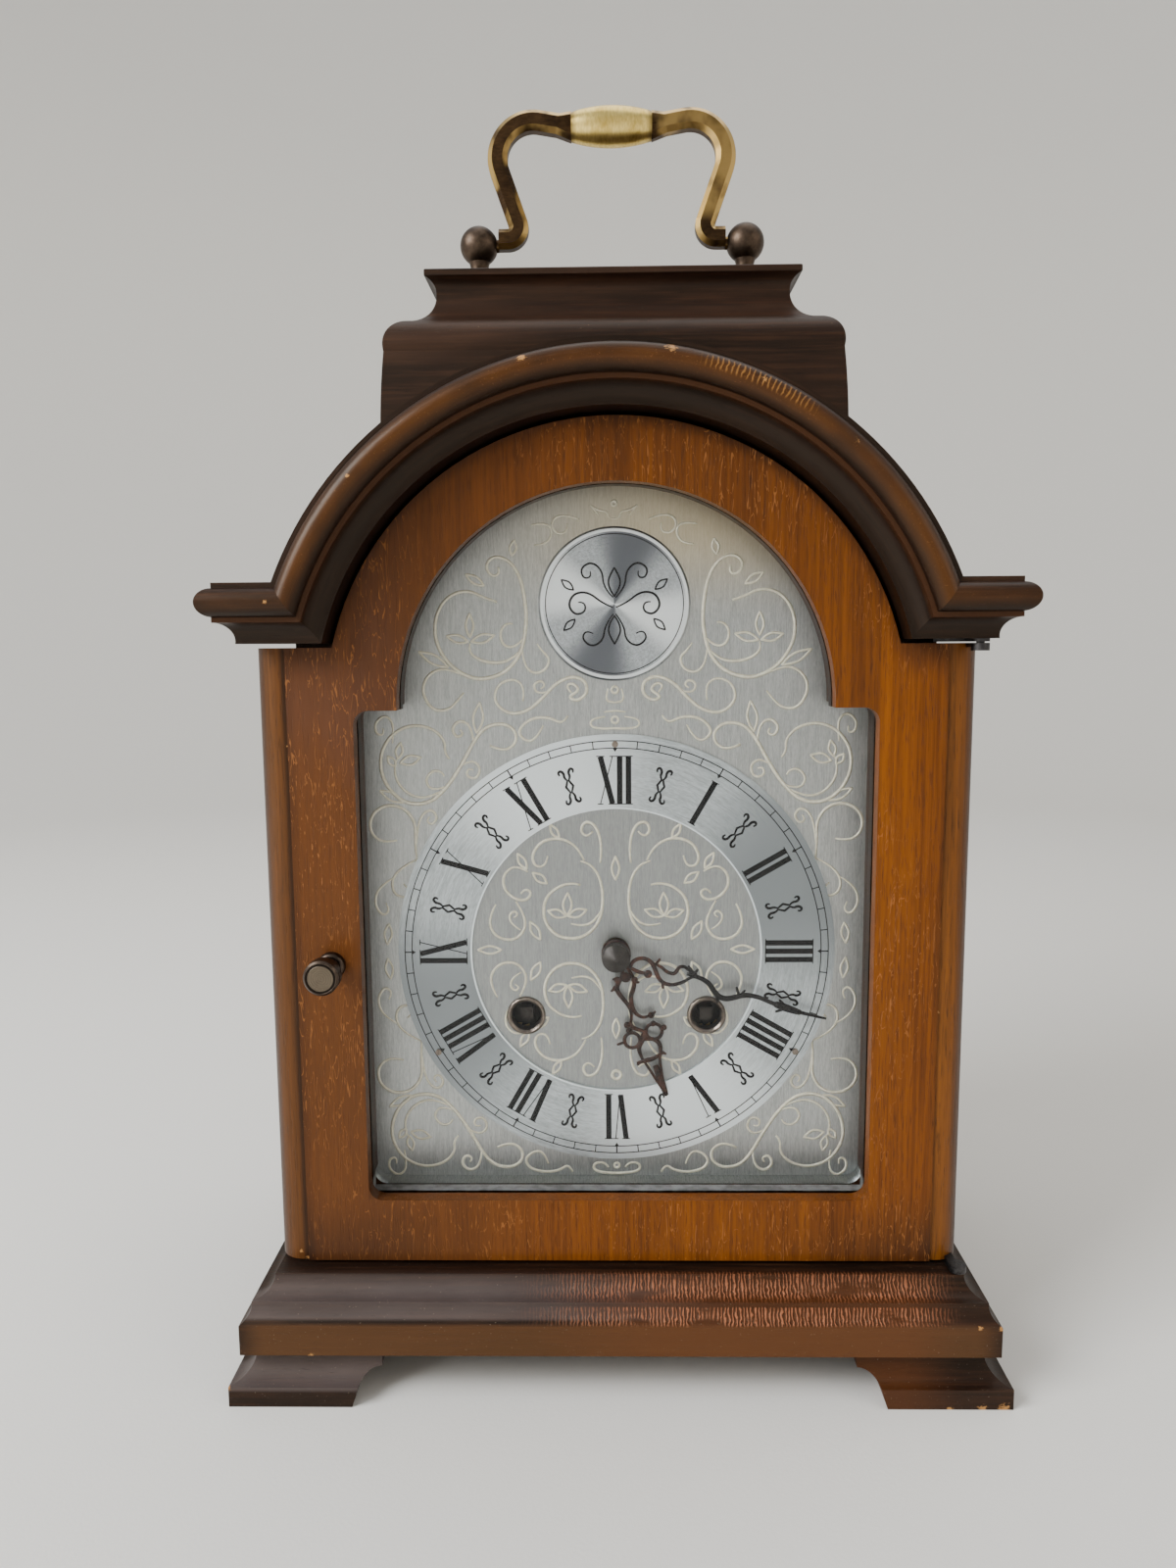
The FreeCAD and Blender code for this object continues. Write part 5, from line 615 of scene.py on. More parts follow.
def silvered(name, scale, dark, light, place=None):
    """Brushed silvering: long scratches of two widths and a fine sparkle."""
    finish = Finish(name, Metallic=0.92)
    run = place(finish) if place else finish.place
    broad = finish.noise(scale, rough=0.6, place=run)
    fine = finish.noise(tuple(4 * s for s in scale), 2.0, 0.6, place=run)
    colour = (broad.ramp(0.3, 0.7) * 0.5 + fine.ramp(0.3, 0.7) * 0.5).mix(dark, light)
    finish.wear(Base_Color=colour, Roughness=0.3 + broad * 0.16 + fine * 0.1,
                Normal=finish.bump(broad * 0.5 + fine * 0.5, 0.00002))
    return finish, colour


def painted_lustre(finish, colour, middle_z, bright_at, bright, dull, rim):
    """A painted sheen: the two-sided lustre of metal brushed round a point, painted bright and dull by angle,
    and a polished line along one rim.
    """
    swing = finish.angle(middle_z) * 2.0 - 2 * bright_at
    sheen = swing.sum_of("COSINE", swing)
    line = (finish.span(finish.x, finish.z - middle_z) - rim).size().ramp(*RIM_LINE)
    dulled = sheen.ramp(-0.2, -1.0).mix(colour, dull)
    finish.wear(Base_Color=sheen.ramp(0.3, 1.0).most(line).mix(dulled, bright))


def round_run(middle_z):
    """Coordinates that run round a point of the dial: turn in metres, depth, distance from the middle."""
    def run(finish):
        out = finish.span(finish.x, finish.z - middle_z)
        return finish.vector(finish.angle(middle_z) * MEAN_RADIUS, finish.y, out)
    return run


def fitted(name, bm, material, body):
    """Ends a piece of the dial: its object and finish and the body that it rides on."""
    bmesh.ops.recalc_face_normals(bm, faces=bm.faces)
    piece = mesh_object(name, bm)
    piece.data.materials.append(material.material)
    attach(piece, body)
    return piece


dial_silver, colour = silvered("dial_silver", BRUSHING, SILVER_DARK, SILVER_LIGHT)
# Painted reflection: a warm glow painted over the top of the plate towards the right.
painted_reflection = dial_silver.z.ramp(*REFLECTION_FOOT) * dial_silver.x.ramp(*REFLECTION_SIDE)
inside = dial_silver.span(dial_silver.x, dial_silver.z - DIAL_Z).ramp(*RING_BORE)
colour = (inside * 0.4).mix(colour, INNER_GREY)
dial_silver.wear(Base_Color=(painted_reflection * 0.55).mix(colour, PAINTED_WARM_REFLECTION))
dress(dial_silver, "dial_plate")


# Lip of the dial: its foot is bent forward over the ledge and the round corners of the front frame, so the
# window shows silver down to the fillet. The same brushed sheet, painted darker as shade low in the window.
LEDGE_REACH, LEDGE_LOW, LEDGE_HIGH = 0.0795, 0.056, 0.062
LEDGE_SLOPE = 0.1
LIP_RISE = 0.00015
LIP_SHADE_DARK, LIP_SHADE_LIGHT = srgb(120, 124, 124), srgb(168, 172, 170)


def thicken(bm, faces, by):
    """Lifts faces off by a vector and leaves walls behind them."""
    lifted = bmesh.ops.extrude_face_region(bm, geom=faces)["geom"]
    bmesh.ops.translate(bm, vec=by, verts=[part for part in lifted if isinstance(part, bmesh.types.BMVert)])


bm = bmesh.new()
bm.from_mesh(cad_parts["front_frame"].data)
bmesh.ops.remove_doubles(bm, verts=bm.verts, dist=0.000001)
others = [face for face in bm.faces
          if face.normal.z < LEDGE_SLOPE or abs(face.calc_center_median().x) > LEDGE_REACH
          or not LEDGE_LOW < face.calc_center_median().z < LEDGE_HIGH]
bmesh.ops.delete(bm, geom=others, context="FACES")
thicken(bm, bm.faces[:], (0, 0, LIP_RISE))
lip_silver, _ = silvered("lip_silver", BRUSHING, LIP_SHADE_DARK, LIP_SHADE_LIGHT,
                         lambda finish: finish.vector(finish.x, finish.z, finish.y))
fitted("dial_lip", bm, lip_silver, "case")


# Scroll pattern of the dial: one quarter or one half is drawn and mirrored. Each stroke is a smooth
# line that swells and thins, flattened to a skin of print on the plate.
PRINT_RISE = 0.00006
WINDING_X, WINDING_DROP, COLLAR_REACH = 0.0292, 0.0214, 0.0058
STROKE, LEAF_STROKE = 0.00056, 0.0004
CURVE_STEPS = 5
MERGED = 0.0000005
CREAM, CREAM_THIN = srgb(255, 251, 228), srgb(238, 232, 206)


def scroll(points, width, closed, sides):
    """One stroke along a run of control points, in millimetres from the dial's centre."""
    curve = bpy.data.curves.new("stroke", "CURVE")
    curve.dimensions = "3D"
    curve.bevel_depth = width
    curve.bevel_resolution = sides
    curve.resolution_u = CURVE_STEPS
    spline = curve.splines.new("NURBS")
    spline.points.add(len(points) - 1)
    for index, (x, z) in enumerate(points):
        along = index / (len(points) - 1)
        spline.points[index].co = (x / 1000, 0, z / 1000, 1)
        swell = 0.45 + 0.55 * math.sin(math.pi * min(1, along * 0.85 + 0.1))
        spline.points[index].radius = 1.0 if closed else swell
    spline.order_u = 3
    spline.use_endpoint_u = not closed
    spline.use_cyclic_u = closed
    return curve


def leaf(x, z, length, width, angle, stroke=LEAF_STROKE):
    """The closed stroke of a pointed leaf that starts at a place and grows towards an angle, in degrees."""
    across = Matrix.Rotation(math.radians(angle), 2)
    half = [(0, 0), (0, 0), (0.25, 0.36), (0.55, 0.5), (0.85, 0.2), (1, 0), (1, 0)]
    whole = half + [(u, -v) for u, v in half[-3:1:-1]]
    return [tuple(Vector((x, z)) + across @ Vector((u * length, v * width))) for u, v in whole], stroke, True


def dot(x, z, radius, stroke=LEAF_STROKE):
    """The closed stroke of a small ring."""
    corners = [math.radians(45 * step) for step in range(8)]
    return [(x + radius * math.cos(turn), z + radius * math.sin(turn)) for turn in corners], stroke, True


def printed(name, strokes, mirrors, front, material, body, middle=DIAL_Z, flat=PRINT_RISE / STROKE, sides=0):
    """Lays strokes on a face of the dial, once for each pair of signs, as one flat piece. A leaf or a ring
    gives a third value, True, which closes it. What would cross a winding collar is cut out."""
    bm = bmesh.new()
    for points, width, *closed in strokes:
        curve = scroll(points, width, bool(closed), sides)
        holder = bpy.data.objects.new("stroke", curve)
        bpy.context.scene.collection.objects.link(holder)
        shape = bpy.data.meshes.new_from_object(holder.evaluated_get(bpy.context.evaluated_depsgraph_get()))
        for across, up in mirrors:
            before = len(bm.verts)
            bm.from_mesh(shape)
            bm.verts.ensure_lookup_table()
            for vert in bm.verts[before:]:
                vert.co = Vector((vert.co.x * across, vert.co.y * flat, vert.co.z * up))
        bpy.data.objects.remove(holder)
        bpy.data.curves.remove(curve)
        bpy.data.meshes.remove(shape)
    bored = [vert for vert in bm.verts if front == PLATE_Y
             and math.hypot(abs(vert.co.x) - WINDING_X, vert.co.z + WINDING_DROP) < COLLAR_REACH]
    bmesh.ops.delete(bm, geom=bored, context="VERTS")
    bmesh.ops.remove_doubles(bm, verts=bm.verts, dist=MERGED)
    bmesh.ops.holes_fill(bm, edges=[edge for edge in bm.edges if edge.is_boundary], sides=0)
    bmesh.ops.translate(bm, vec=(0, front, middle), verts=bm.verts)
    return fitted(name, bm, material, body)


cream_print = Finish("cream_print", Roughness=0.5)
fade = cream_print.noise(700)
cream_print.wear(Base_Color=fade.ramp(0.3, 0.75).mix(CREAM_THIN, CREAM))

ONE, TWO, FOUR = ((1, 1),), ((1, 1), (-1, 1)), ((1, 1), (-1, 1), (1, -1), (-1, -1))
CENTRE_STROKES = [
    ([(11.2, 21.6), (13.6, 22.4), (18.6, 21.2), (23.0, 17.0), (23.2, 9.6), (18.4, 4.2), (10.6, 4.0),
      (5.0, 9.4), (3.9, 17.6), (5.0, 24.4), (8.2, 28.8), (11.2, 29.4)], STROKE),
    ([(4.6, 13.4), (6.6, 9.8), (10.6, 8.0), (14.4, 9.0)], STROKE * 0.8),
    ([(10.0, 29.6), (11.6, 33.6), (17.0, 37.0), (23.4, 36.2), (26.8, 31.6), (25.8, 27.6), (22.2, 27.8),
      (21.6, 31.2)], STROKE * 0.9),
    ([(4.9, 28.8), (4.2, 34.0), (6.0, 41.0), (9.8, 42.4), (11.2, 39.0), (8.8, 37.0), (7.2, 39.0)],
      STROKE * 0.9),
    ([(28.0, 26.0), (31.6, 28.4), (35.8, 25.6), (36.0, 20.6), (32.4, 17.0), (28.4, 16.6), (26.8, 19.4),
      (29.2, 20.6), (30.4, 18.8)], STROKE * 0.9),
    ([(32.0, 16.4), (29.6, 12.6), (28.8, 7.6), (32.2, 3.6), (37.6, 4.0), (40.8, 8.0), (39.8, 13.2),
      (38.4, 15.4)], STROKE * 0.9),
    ([(30.6, 7.0), (33.4, 8.6), (34.4, 11.8), (32.4, 13.4), (31.2, 11.8), (32.8, 11.0)], STROKE * 0.75),
    leaf(15.6, 11.6, 7.4, 3.0, 92),
    leaf(15.2, 11.4, 6.2, 2.8, 160),
    leaf(16.0, 11.4, 6.0, 2.8, 18),
    leaf(18.0, 36.8, 5.2, 2.2, 58),
    leaf(28.4, 27.0, 5.6, 2.4, 60),
    leaf(22.0, 22.2, 5.6, 2.6, 38),
    leaf(24.4, 3.8, 6.6, 2.8, 62),
]

CORNER_STROKES = [
    ([(39.4, 66.5), (35.4, 64.6), (31.2, 66.8), (31.0, 71.0), (34.6, 73.6), (40.4, 72.8), (44.1, 68.6),
      (48.0, 61.2), (53.2, 53.2), (59.2, 48.0), (67.2, 48.2), (73.2, 54.5), (74.6, 63.0), (70.8, 70.2),
      (64.2, 73.4), (57.4, 72.2), (53.4, 68.2), (53.8, 64.0), (52.2, 62.4)], STROKE * 1.1),
    ([(44.6, 68.0), (45.0, 72.6), (48.6, 74.8), (51.4, 72.2), (50.0, 69.0), (47.4, 70.2), (48.6, 71.6)],
      STROKE * 0.9),
    ([(54.6, 52.4), (59.6, 49.6), (65.6, 51.0), (69.4, 55.5), (69.8, 60.6), (68.8, 62.6)], STROKE * 0.8),
    ([(53.6, 53.6), (57.9, 52.0), (60.3, 55.6), (57.8, 58.8), (54.6, 58.4), (54.0, 56.8)], STROKE * 0.8),
    ([(48.6, 60.2), (45.6, 62.2), (42.4, 60.0), (43.5, 56.0), (47.0, 56.6), (46.6, 59.5), (44.8, 58.9)],
      STROKE * 0.8),
    ([(70.2, 67.4), (69.2, 73.4), (72.2, 76.6), (75.6, 74.0), (75.2, 70.3), (72.6, 70.0), (73.0, 72.2)],
      STROKE * 0.8),
    ([(63.4, 29.4), (63.9, 35.6), (63.4, 42.0), (67.0, 47.0), (73.0, 48.0), (77.8, 44.6), (78.2, 39.0),
      (74.2, 35.4), (69.6, 36.4)], STROKE),
    ([(63.6, 34.0), (63.0, 41.0), (61.0, 45.2), (58.2, 46.4), (56.4, 43.8), (58.2, 41.2), (60.2, 42.6),
      (59.0, 44.0)], STROKE * 0.8),
    ([(63.4, 30.2), (67.6, 28.2), (71.6, 24.2), (71.4, 19.2), (67.6, 17.4), (65.6, 20.4), (68.0, 22.2)],
      STROKE * 0.8),
    ([(71.4, 24.0), (76.0, 21.4), (77.6, 15.8), (75.0, 11.6), (72.4, 13.6), (73.8, 16.0)], STROKE * 0.8),
    leaf(67.8, 61.2, 6.6, 3.2, 165),
    leaf(68.6, 62.6, 5.0, 2.4, 102),
    leaf(69.4, 60.2, 3.8, 2.2, 52),
    leaf(67.4, 48.6, 8.0, 2.8, 28),
    leaf(73.0, 9.0, 6.6, 2.6, -84),
]

ARCH_STROKES = [
    ([(36.4, 111.2), (40.8, 112.6), (44.4, 114.6), (49.4, 114.2), (53.6, 111.0), (56.0, 105.4), (55.6, 98.0),
      (51.2, 91.2), (43.8, 87.0), (35.8, 88.4), (30.8, 92.6), (28.4, 97.8), (27.2, 105.6), (27.8, 112.6),
      (29.0, 118.6), (32.0, 123.6), (36.8, 125.4), (39.9, 122.6), (38.2, 118.9), (35.2, 119.6),
      (35.8, 121.8)], STROKE * 1.1),
    ([(29.4, 96.0), (32.3, 93.2), (37.4, 92.2), (42.6, 93.4), (45.6, 96.1), (45.0, 98.6)], STROKE * 0.9),
    ([(28.0, 100.2), (30.5, 97.2), (34.6, 97.4), (35.8, 101.7), (33.7, 104.8), (31.6, 104.4)], STROKE * 0.8),
    ([(28.8, 96.6), (28.4, 92.0), (25.5, 88.8), (21.5, 90.0), (20.1, 93.6), (22.6, 96.0), (24.1, 98.2)],
      STROKE * 0.8),
    ([(47.6, 88.8), (53.2, 91.4), (58.8, 88.7), (60.5, 83.6), (57.5, 77.8), (52.4, 77.6), (49.2, 80.7),
      (47.3, 83.2)], STROKE * 0.9),
    ([(13.6, 83.0), (15.4, 84.9), (13.3, 86.2), (10.7, 83.8), (14.7, 81.7), (12.0, 80.2), (8.6, 82.5),
      (8.9, 86.6), (13.3, 88.3), (18.7, 85.8), (22.7, 81.2), (27.4, 77.2), (33.4, 76.2), (38.1, 80.4),
      (36.7, 85.8), (31.5, 87.7), (28.0, 84.8), (28.8, 80.4)], STROKE),
    ([(20.8, 83.4), (24.3, 82.4), (25.6, 85.7), (22.8, 87.0), (21.6, 84.9), (23.2, 84.3)], STROKE * 0.75),
    ([(14.8, 75.8), (16.2, 73.0), (20.9, 75.5), (26.9, 75.0), (30.9, 70.7), (27.5, 67.4), (24.3, 69.2),
      (22.5, 72.8)], STROKE * 0.9),
    ([(10.7, 135.9), (14.1, 137.4), (18.4, 136.8), (19.3, 133.8), (17.0, 131.4), (14.0, 132.6),
      (14.4, 134.8)], STROKE * 0.7),
    ([(25.4, 134.4), (22.5, 135.0), (19.4, 134.0), (19.2, 131.0), (21.1, 128.6), (24.6, 128.3)],
      STROKE * 0.7),
    ([(0.0, 136.1), (1.7, 136.1), (2.0, 138.4), (4.9, 138.6), (7.6, 140.4), (6.1, 139.0), (4.6, 136.9)],
      STROKE * 0.6),
    leaf(31.5, 125.3, 4.6, 2.2, 100),
    ([(2.1, 84.2), (3.3, 80.4), (0.0, 79.8), (0.0, 79.8)], STROKE * 0.7),
    leaf(45.0, 100.5, 7.0, 2.6, 90),
    leaf(44.6, 99.0, 7.4, 2.8, 165),
    leaf(45.6, 99.0, 6.8, 2.6, 15),
    leaf(40.4, 116.2, 6.4, 2.4, 32),
    leaf(52.0, 91.2, 10.2, 3.0, 28),
    leaf(43.5, 70.6, 9.4, 3.4, 97),
]

LOW_STROKES = [
    ([(14.6, -75.0), (15.9, -72.2), (19.0, -74.6), (24.0, -75.2), (28.9, -73.8), (30.4, -70.4), (27.0, -67.6),
      (23.8, -68.3), (22.6, -72.2)], STROKE * 0.9),
]

AXIS_STROKES = [
    dot(0, 74.4, 1.1), dot(0, 83.8, 1.1), dot(0, 140.7, 0.8),
    dot(0, -72.7, 0.9), dot(0, -41.6, 1.5, STROKE),
    leaf(0, 23.4, 7.4, 2.6, 90), leaf(0, -22.6, 6.6, 2.4, -90),
    leaf(-37.0, 0.4, -7.4, 2.8, 0), leaf(37.0, 0.4, 7.4, 2.8, 0),
    ([(-3.0, 75.4), (-7.4, 75.0), (-7.8, 72.2), (-3.6, 71.6), (0.0, 71.8), (3.6, 71.6), (7.8, 72.2),
      (7.4, 75.0), (3.0, 75.4)], LEAF_STROKE),
    ([(-3.4, 76.8), (0.0, 77.6), (3.4, 76.8)], LEAF_STROKE),
    ([(-2.8, -73.4), (-3.8, -71.6), (-7.6, -71.9), (-7.6, -74.6), (-3.0, -75.5), (3.0, -75.5), (7.6, -74.6),
      (7.6, -71.9), (3.8, -71.6), (2.8, -73.4)], STROKE * 0.9),
]
for name, strokes, mirrors in (("centre", CENTRE_STROKES, FOUR), ("corners", CORNER_STROKES, FOUR),
                               ("arch", ARCH_STROKES, TWO), ("low", LOW_STROKES, TWO),
                               ("axis", AXIS_STROKES, ONE)):
    printed("dial_scrolls_" + name, strokes, mirrors, PLATE_Y, cream_print, "case")


# Chapter ring: a separate silvered ring, brushed round, with its numerals, minute track and half-hour
# ornaments printed in black. Three small pins hold it.
RING_DARK, RING_LIGHT = srgb(162, 170, 173), srgb(210, 218, 221)
RING_BRIGHT, RING_DULL = srgb(238, 246, 249), srgb(140, 147, 150)
RING_BRIGHT_AT, RING_RIM = 2.75, 0.0463

ring_silver, colour = silvered("ring_silver", (130, 60, 1300), RING_DARK, RING_LIGHT, round_run(DIAL_Z))
# Painted sheen: bright and dull sectors painted round the ring.
painted_lustre(ring_silver, colour, DIAL_Z, RING_BRIGHT_AT, RING_BRIGHT, RING_DULL, RING_RIM)
dress(ring_silver, "chapter_ring")

BAR = 1.75
HAIR = 0.32
NUMERAL_IN, NUMERAL_OUT = 47.9, 63.0
INK_RISE = 0.05
ROMAN = ("XII", "I", "II", "III", "IIII", "V", "VI", "VII", "VIII", "IX", "X", "XI")
GLYPH_WIDTH = {"I": 2.75, "V": 5.2, "X": 5.6}
SERIF_I, SERIF_THICK, SERIF_THIN = 1.35, 1.3, 0.9
INK_DARK, INK_THIN = srgb(6, 6, 7), srgb(20, 20, 22)
TRACK_STEPS = 180

ink = Finish("black_print", Roughness=0.5, Specular_IOR_Level=0.2)
thin = ink.noise(1600, 2.0)
ink.wear(Base_Color=thin.ramp(0.35, 0.8).mix(INK_DARK, INK_THIN))


def bar(bm, turned, start, end, width):
    """A straight printed bar between two places, given across and outward from the dial's centre."""
    (x0, z0), (x1, z1) = start, end
    lean = math.atan2(z1 - z0, x1 - x0)
    middle = Matrix.Translation((x0 / 2 + x1 / 2, 0, z0 / 2 + z1 / 2))
    place = (turned @ middle @ Matrix.Rotation(-lean, 4, "Y")
             @ Matrix.Diagonal((math.dist(start, end), INK_RISE, width, 1)))
    bmesh.ops.create_cube(bm, size=1.0, matrix=place)


def numeral(bm, turned, letters):
    """One roman numeral, its feet towards the centre: thick and hairline strokes between thin serifs."""
    x = -sum(GLYPH_WIDTH[letter] for letter in letters) / 2
    for letter in letters:
        width = GLYPH_WIDTH[letter]
        low, high = NUMERAL_IN, NUMERAL_OUT
        middle = x + width / 2
        half = width / 2 - 0.9
        if letter == "I":
            bar(bm, turned, (middle, low), (middle, high), BAR)
            serifs = ((middle, low, SERIF_I), (middle, high, SERIF_I))
        elif letter == "V":
            bar(bm, turned, (middle - half, high - 0.1), (middle + 0.1, low + 0.1), BAR)
            bar(bm, turned, (middle + half, high), (middle + 0.3, low), HAIR)
            serifs = ((middle - half, high, SERIF_THICK), (middle + half, high, SERIF_THIN))
        else:
            bar(bm, turned, (middle - half, high - 0.1), (middle + half, low + 0.1), BAR)
            bar(bm, turned, (middle + half, high), (middle - half, low), HAIR)
            serifs = ((middle - half, high, SERIF_THICK), (middle + half, high, SERIF_THIN),
                      (middle - half, low, SERIF_THIN), (middle + half, low, SERIF_THICK))
        for at, level, reach in serifs:
            bar(bm, turned, (at - reach, level), (at + reach, level), HAIR)
        x += width


def hour_turn(hours):
    return Matrix.Rotation(math.radians(30 * hours), 4, "Y")


def track_circle(bm, radius, width):
    """A thin printed circle: a small section spun round the dial's centre."""
    section = [bm.verts.new((radius + across, out, 0)) for across, out in
               ((-width / 2, 0), (-width / 2, -INK_RISE / 2), (width / 2, -INK_RISE / 2), (width / 2, 0))]
    edges = [bm.edges.new(pair) for pair in zip(section, section[1:] + section[:1])]
    bmesh.ops.spin(bm, geom=section + edges, cent=(0, 0, 0), axis=(0, 1, 0), angle=2 * math.pi,
                   steps=TRACK_STEPS, use_merge=True)


def settle(name, bm, front, material, middle=DIAL_Z):
    """Ends a printed piece: millimetres to metres, and onto the face that carries it."""
    place = Matrix.Translation((0, front, middle)) @ Matrix.Scale(0.001, 4)
    bmesh.ops.transform(bm, matrix=place, verts=bm.verts)
    fitted(name, bm, material, "case")


bm = bmesh.new()
for hour, letters in enumerate(ROMAN):
    numeral(bm, hour_turn(hour), letters)
settle("hour_numerals", bm, RING_Y, ink)

TRACK_IN, TRACK_OUT = 65.6, 67.9
FIVE_MINUTE_SHARE = 1.3
WEDGE = (-0.75, TRACK_IN), (0.75, TRACK_IN), (0, TRACK_IN - 1.2)

bm = bmesh.new()
track_circle(bm, TRACK_IN, HAIR)
track_circle(bm, TRACK_OUT, HAIR)
for minute in range(60):
    width = HAIR if minute % 5 else HAIR * FIVE_MINUTE_SHARE
    bar(bm, hour_turn(minute / 5), (0, TRACK_IN), (0, TRACK_OUT), width)
for hour in range(12):
    spread = [bm.verts.new(hour_turn(hour) @ Vector((x, -INK_RISE / 2, z))) for x, z in WEDGE]
    thicken(bm, [bm.faces.new(spread)], (0, INK_RISE / 2, 0))
settle("minute_track", bm, RING_Y, ink)

CURL = [(0.15, 57.3), (1.0, 58.3), (0.7, 59.9), (1.7, 61.0), (2.6, 60.2), (2.1, 59.4)]
BOW = [(0.1, 57.6), (0.1, 57.6), (1.15, 55.4), (1.15, 55.4), (0.1, 53.2), (0.1, 53.2)]
CURL_MIDDLE = 55.4
CURL_LINE, BOW_LINE = 0.00042, 0.00036

curls = []
for half in range(12):
    turned = hour_turn(half + 0.5)
    for across in (-1, 1):
        for up in (-1, 1):
            line = [turned @ Vector((across * x, 0, CURL_MIDDLE + up * (z - CURL_MIDDLE))) for x, z in CURL]
            curls.append(([(p.x, p.z) for p in line], CURL_LINE))
        line = [turned @ Vector((across * x, 0, z)) for x, z in BOW]
        curls.append(([(p.x, p.z) for p in line], BOW_LINE))
printed("half_hour_curls", curls, ONE, RING_Y, ink, "case")


# Medallion in the arch: a small round plate, brushed round, with a fine black line and a plain
# ornament of leaves and curls of this clock's own pattern.
MEDALLION_Z = 0.2428
MEDAL_DARK, MEDAL_LIGHT = srgb(152, 158, 162), srgb(208, 215, 219)
MEDAL_BRIGHT, MEDAL_DULL = srgb(246, 252, 254), srgb(104, 108, 114)
MEDAL_BRIGHT_AT, MEDAL_RIM = 1.85, 0.0225
RIM_CIRCLE, RIM_HAIR = 21.3, 0.3
MEDAL_STEM, MEDAL_CURL, MEDAL_LEAF, MEDAL_SPRIG = 0.00034, 0.0003, 0.00026, 0.00024

medal_silver, colour = silvered("medal_silver", (320, 60, 1500), MEDAL_DARK, MEDAL_LIGHT,
                                round_run(MEDALLION_Z))
# Painted sheen: bright and dull sectors painted round the medallion.
painted_lustre(medal_silver, colour, MEDALLION_Z, MEDAL_BRIGHT_AT, MEDAL_BRIGHT, MEDAL_DULL, MEDAL_RIM)
dress(medal_silver, "medallion")

bm = bmesh.new()
track_circle(bm, RIM_CIRCLE, RIM_HAIR)
settle("medallion_line", bm, RING_Y, ink, MEDALLION_Z)

MEDAL_STROKES = [
    ([(0.5, -1.0), (3.6, 0.2), (8.0, 3.8), (12.6, 3.4), (14.4, -0.4), (12.0, -3.4), (8.8, -2.2), (9.2, 0.8),
      (11.2, 0.6)], MEDAL_STEM),
    ([(0.4, 2.0), (3.4, 5.0), (3.6, 10.2), (7.0, 13.0), (10.4, 11.0), (9.6, 7.8), (7.0, 8.2), (7.4, 10.0)],
      MEDAL_CURL),
    ([(0.4, -3.0), (3.0, -6.4), (3.4, -11.0), (7.0, -13.2), (10.2, -10.6), (8.8, -7.8), (6.6, -9.0)],
      MEDAL_CURL),
    leaf(0, 2.4, 8.6, 4.0, 90, MEDAL_LEAF),
    leaf(0, -3.6, 8.6, 4.0, -90, MEDAL_LEAF),
    leaf(12.6, 4.4, 4.8, 2.2, 40, MEDAL_SPRIG),
    leaf(12.2, -4.6, 4.8, 2.2, -44, MEDAL_SPRIG),
]
printed("medallion_ornament", MEDAL_STROKES, TWO, RING_Y, ink, "case", MEDALLION_Z)


# Hands and their nut: pierced and filed from thin steel, with rings, thorns and small studs. The hour hand
# and the neck of the minute hand have gone red brown, the blade is still black, the nut is dark bronze.
HOUR_Y, MINUTE_Y = -0.0383, -0.0409
WIRE, FINE_WIRE = 0.00076, 0.00058
HUB_RADIUS, HUB_RING = 4.2, 0.0008
NEAR_HUB = 0.024, 0.015
HOUR_DARK, HOUR_RUST = srgb(26, 17, 14), srgb(78, 46, 33)
MINUTE_DARK, MINUTE_RUST = srgb(14, 14, 15), srgb(88, 50, 36)
SHEET_SHARE = 0.5
HAND_SIDES = 2

rust_hand = Finish("hour_hand_brown", Metallic=0.5)
rust = rust_hand.noise(420, 4.0, 0.7)
rust_hand.wear(Base_Color=rust.ramp(0.35, 0.65).mix(HOUR_DARK, HOUR_RUST), Roughness=0.4 + rust * 0.3,
               Normal=rust_hand.bump(rust, 0.00006))

black_hand = Finish("minute_hand_black", Metallic=0.4)
rust = black_hand.noise(420, 4.0, 0.7)
near = black_hand.span(black_hand.x, black_hand.z - DIAL_Z).ramp(*NEAR_HUB)
black_hand.wear(Base_Color=(near * rust.ramp(0.35, 0.62)).mix(MINUTE_DARK, MINUTE_RUST),
                Roughness=0.35 + rust * 0.25, Normal=black_hand.bump(rust, 0.00005))


def stud(x, z, radius):
    """A small round boss: a ring so fat that it closes."""
    return dot(x, z, radius * 0.48, radius * 0.00055)


def thorn(x, z, to_x, to_z):
    """A short point filed at the edge of a hand."""
    return [(x, z), (x * 0.4 + to_x * 0.6, z * 0.4 + to_z * 0.6), (to_x, to_z)], FINE_WIRE


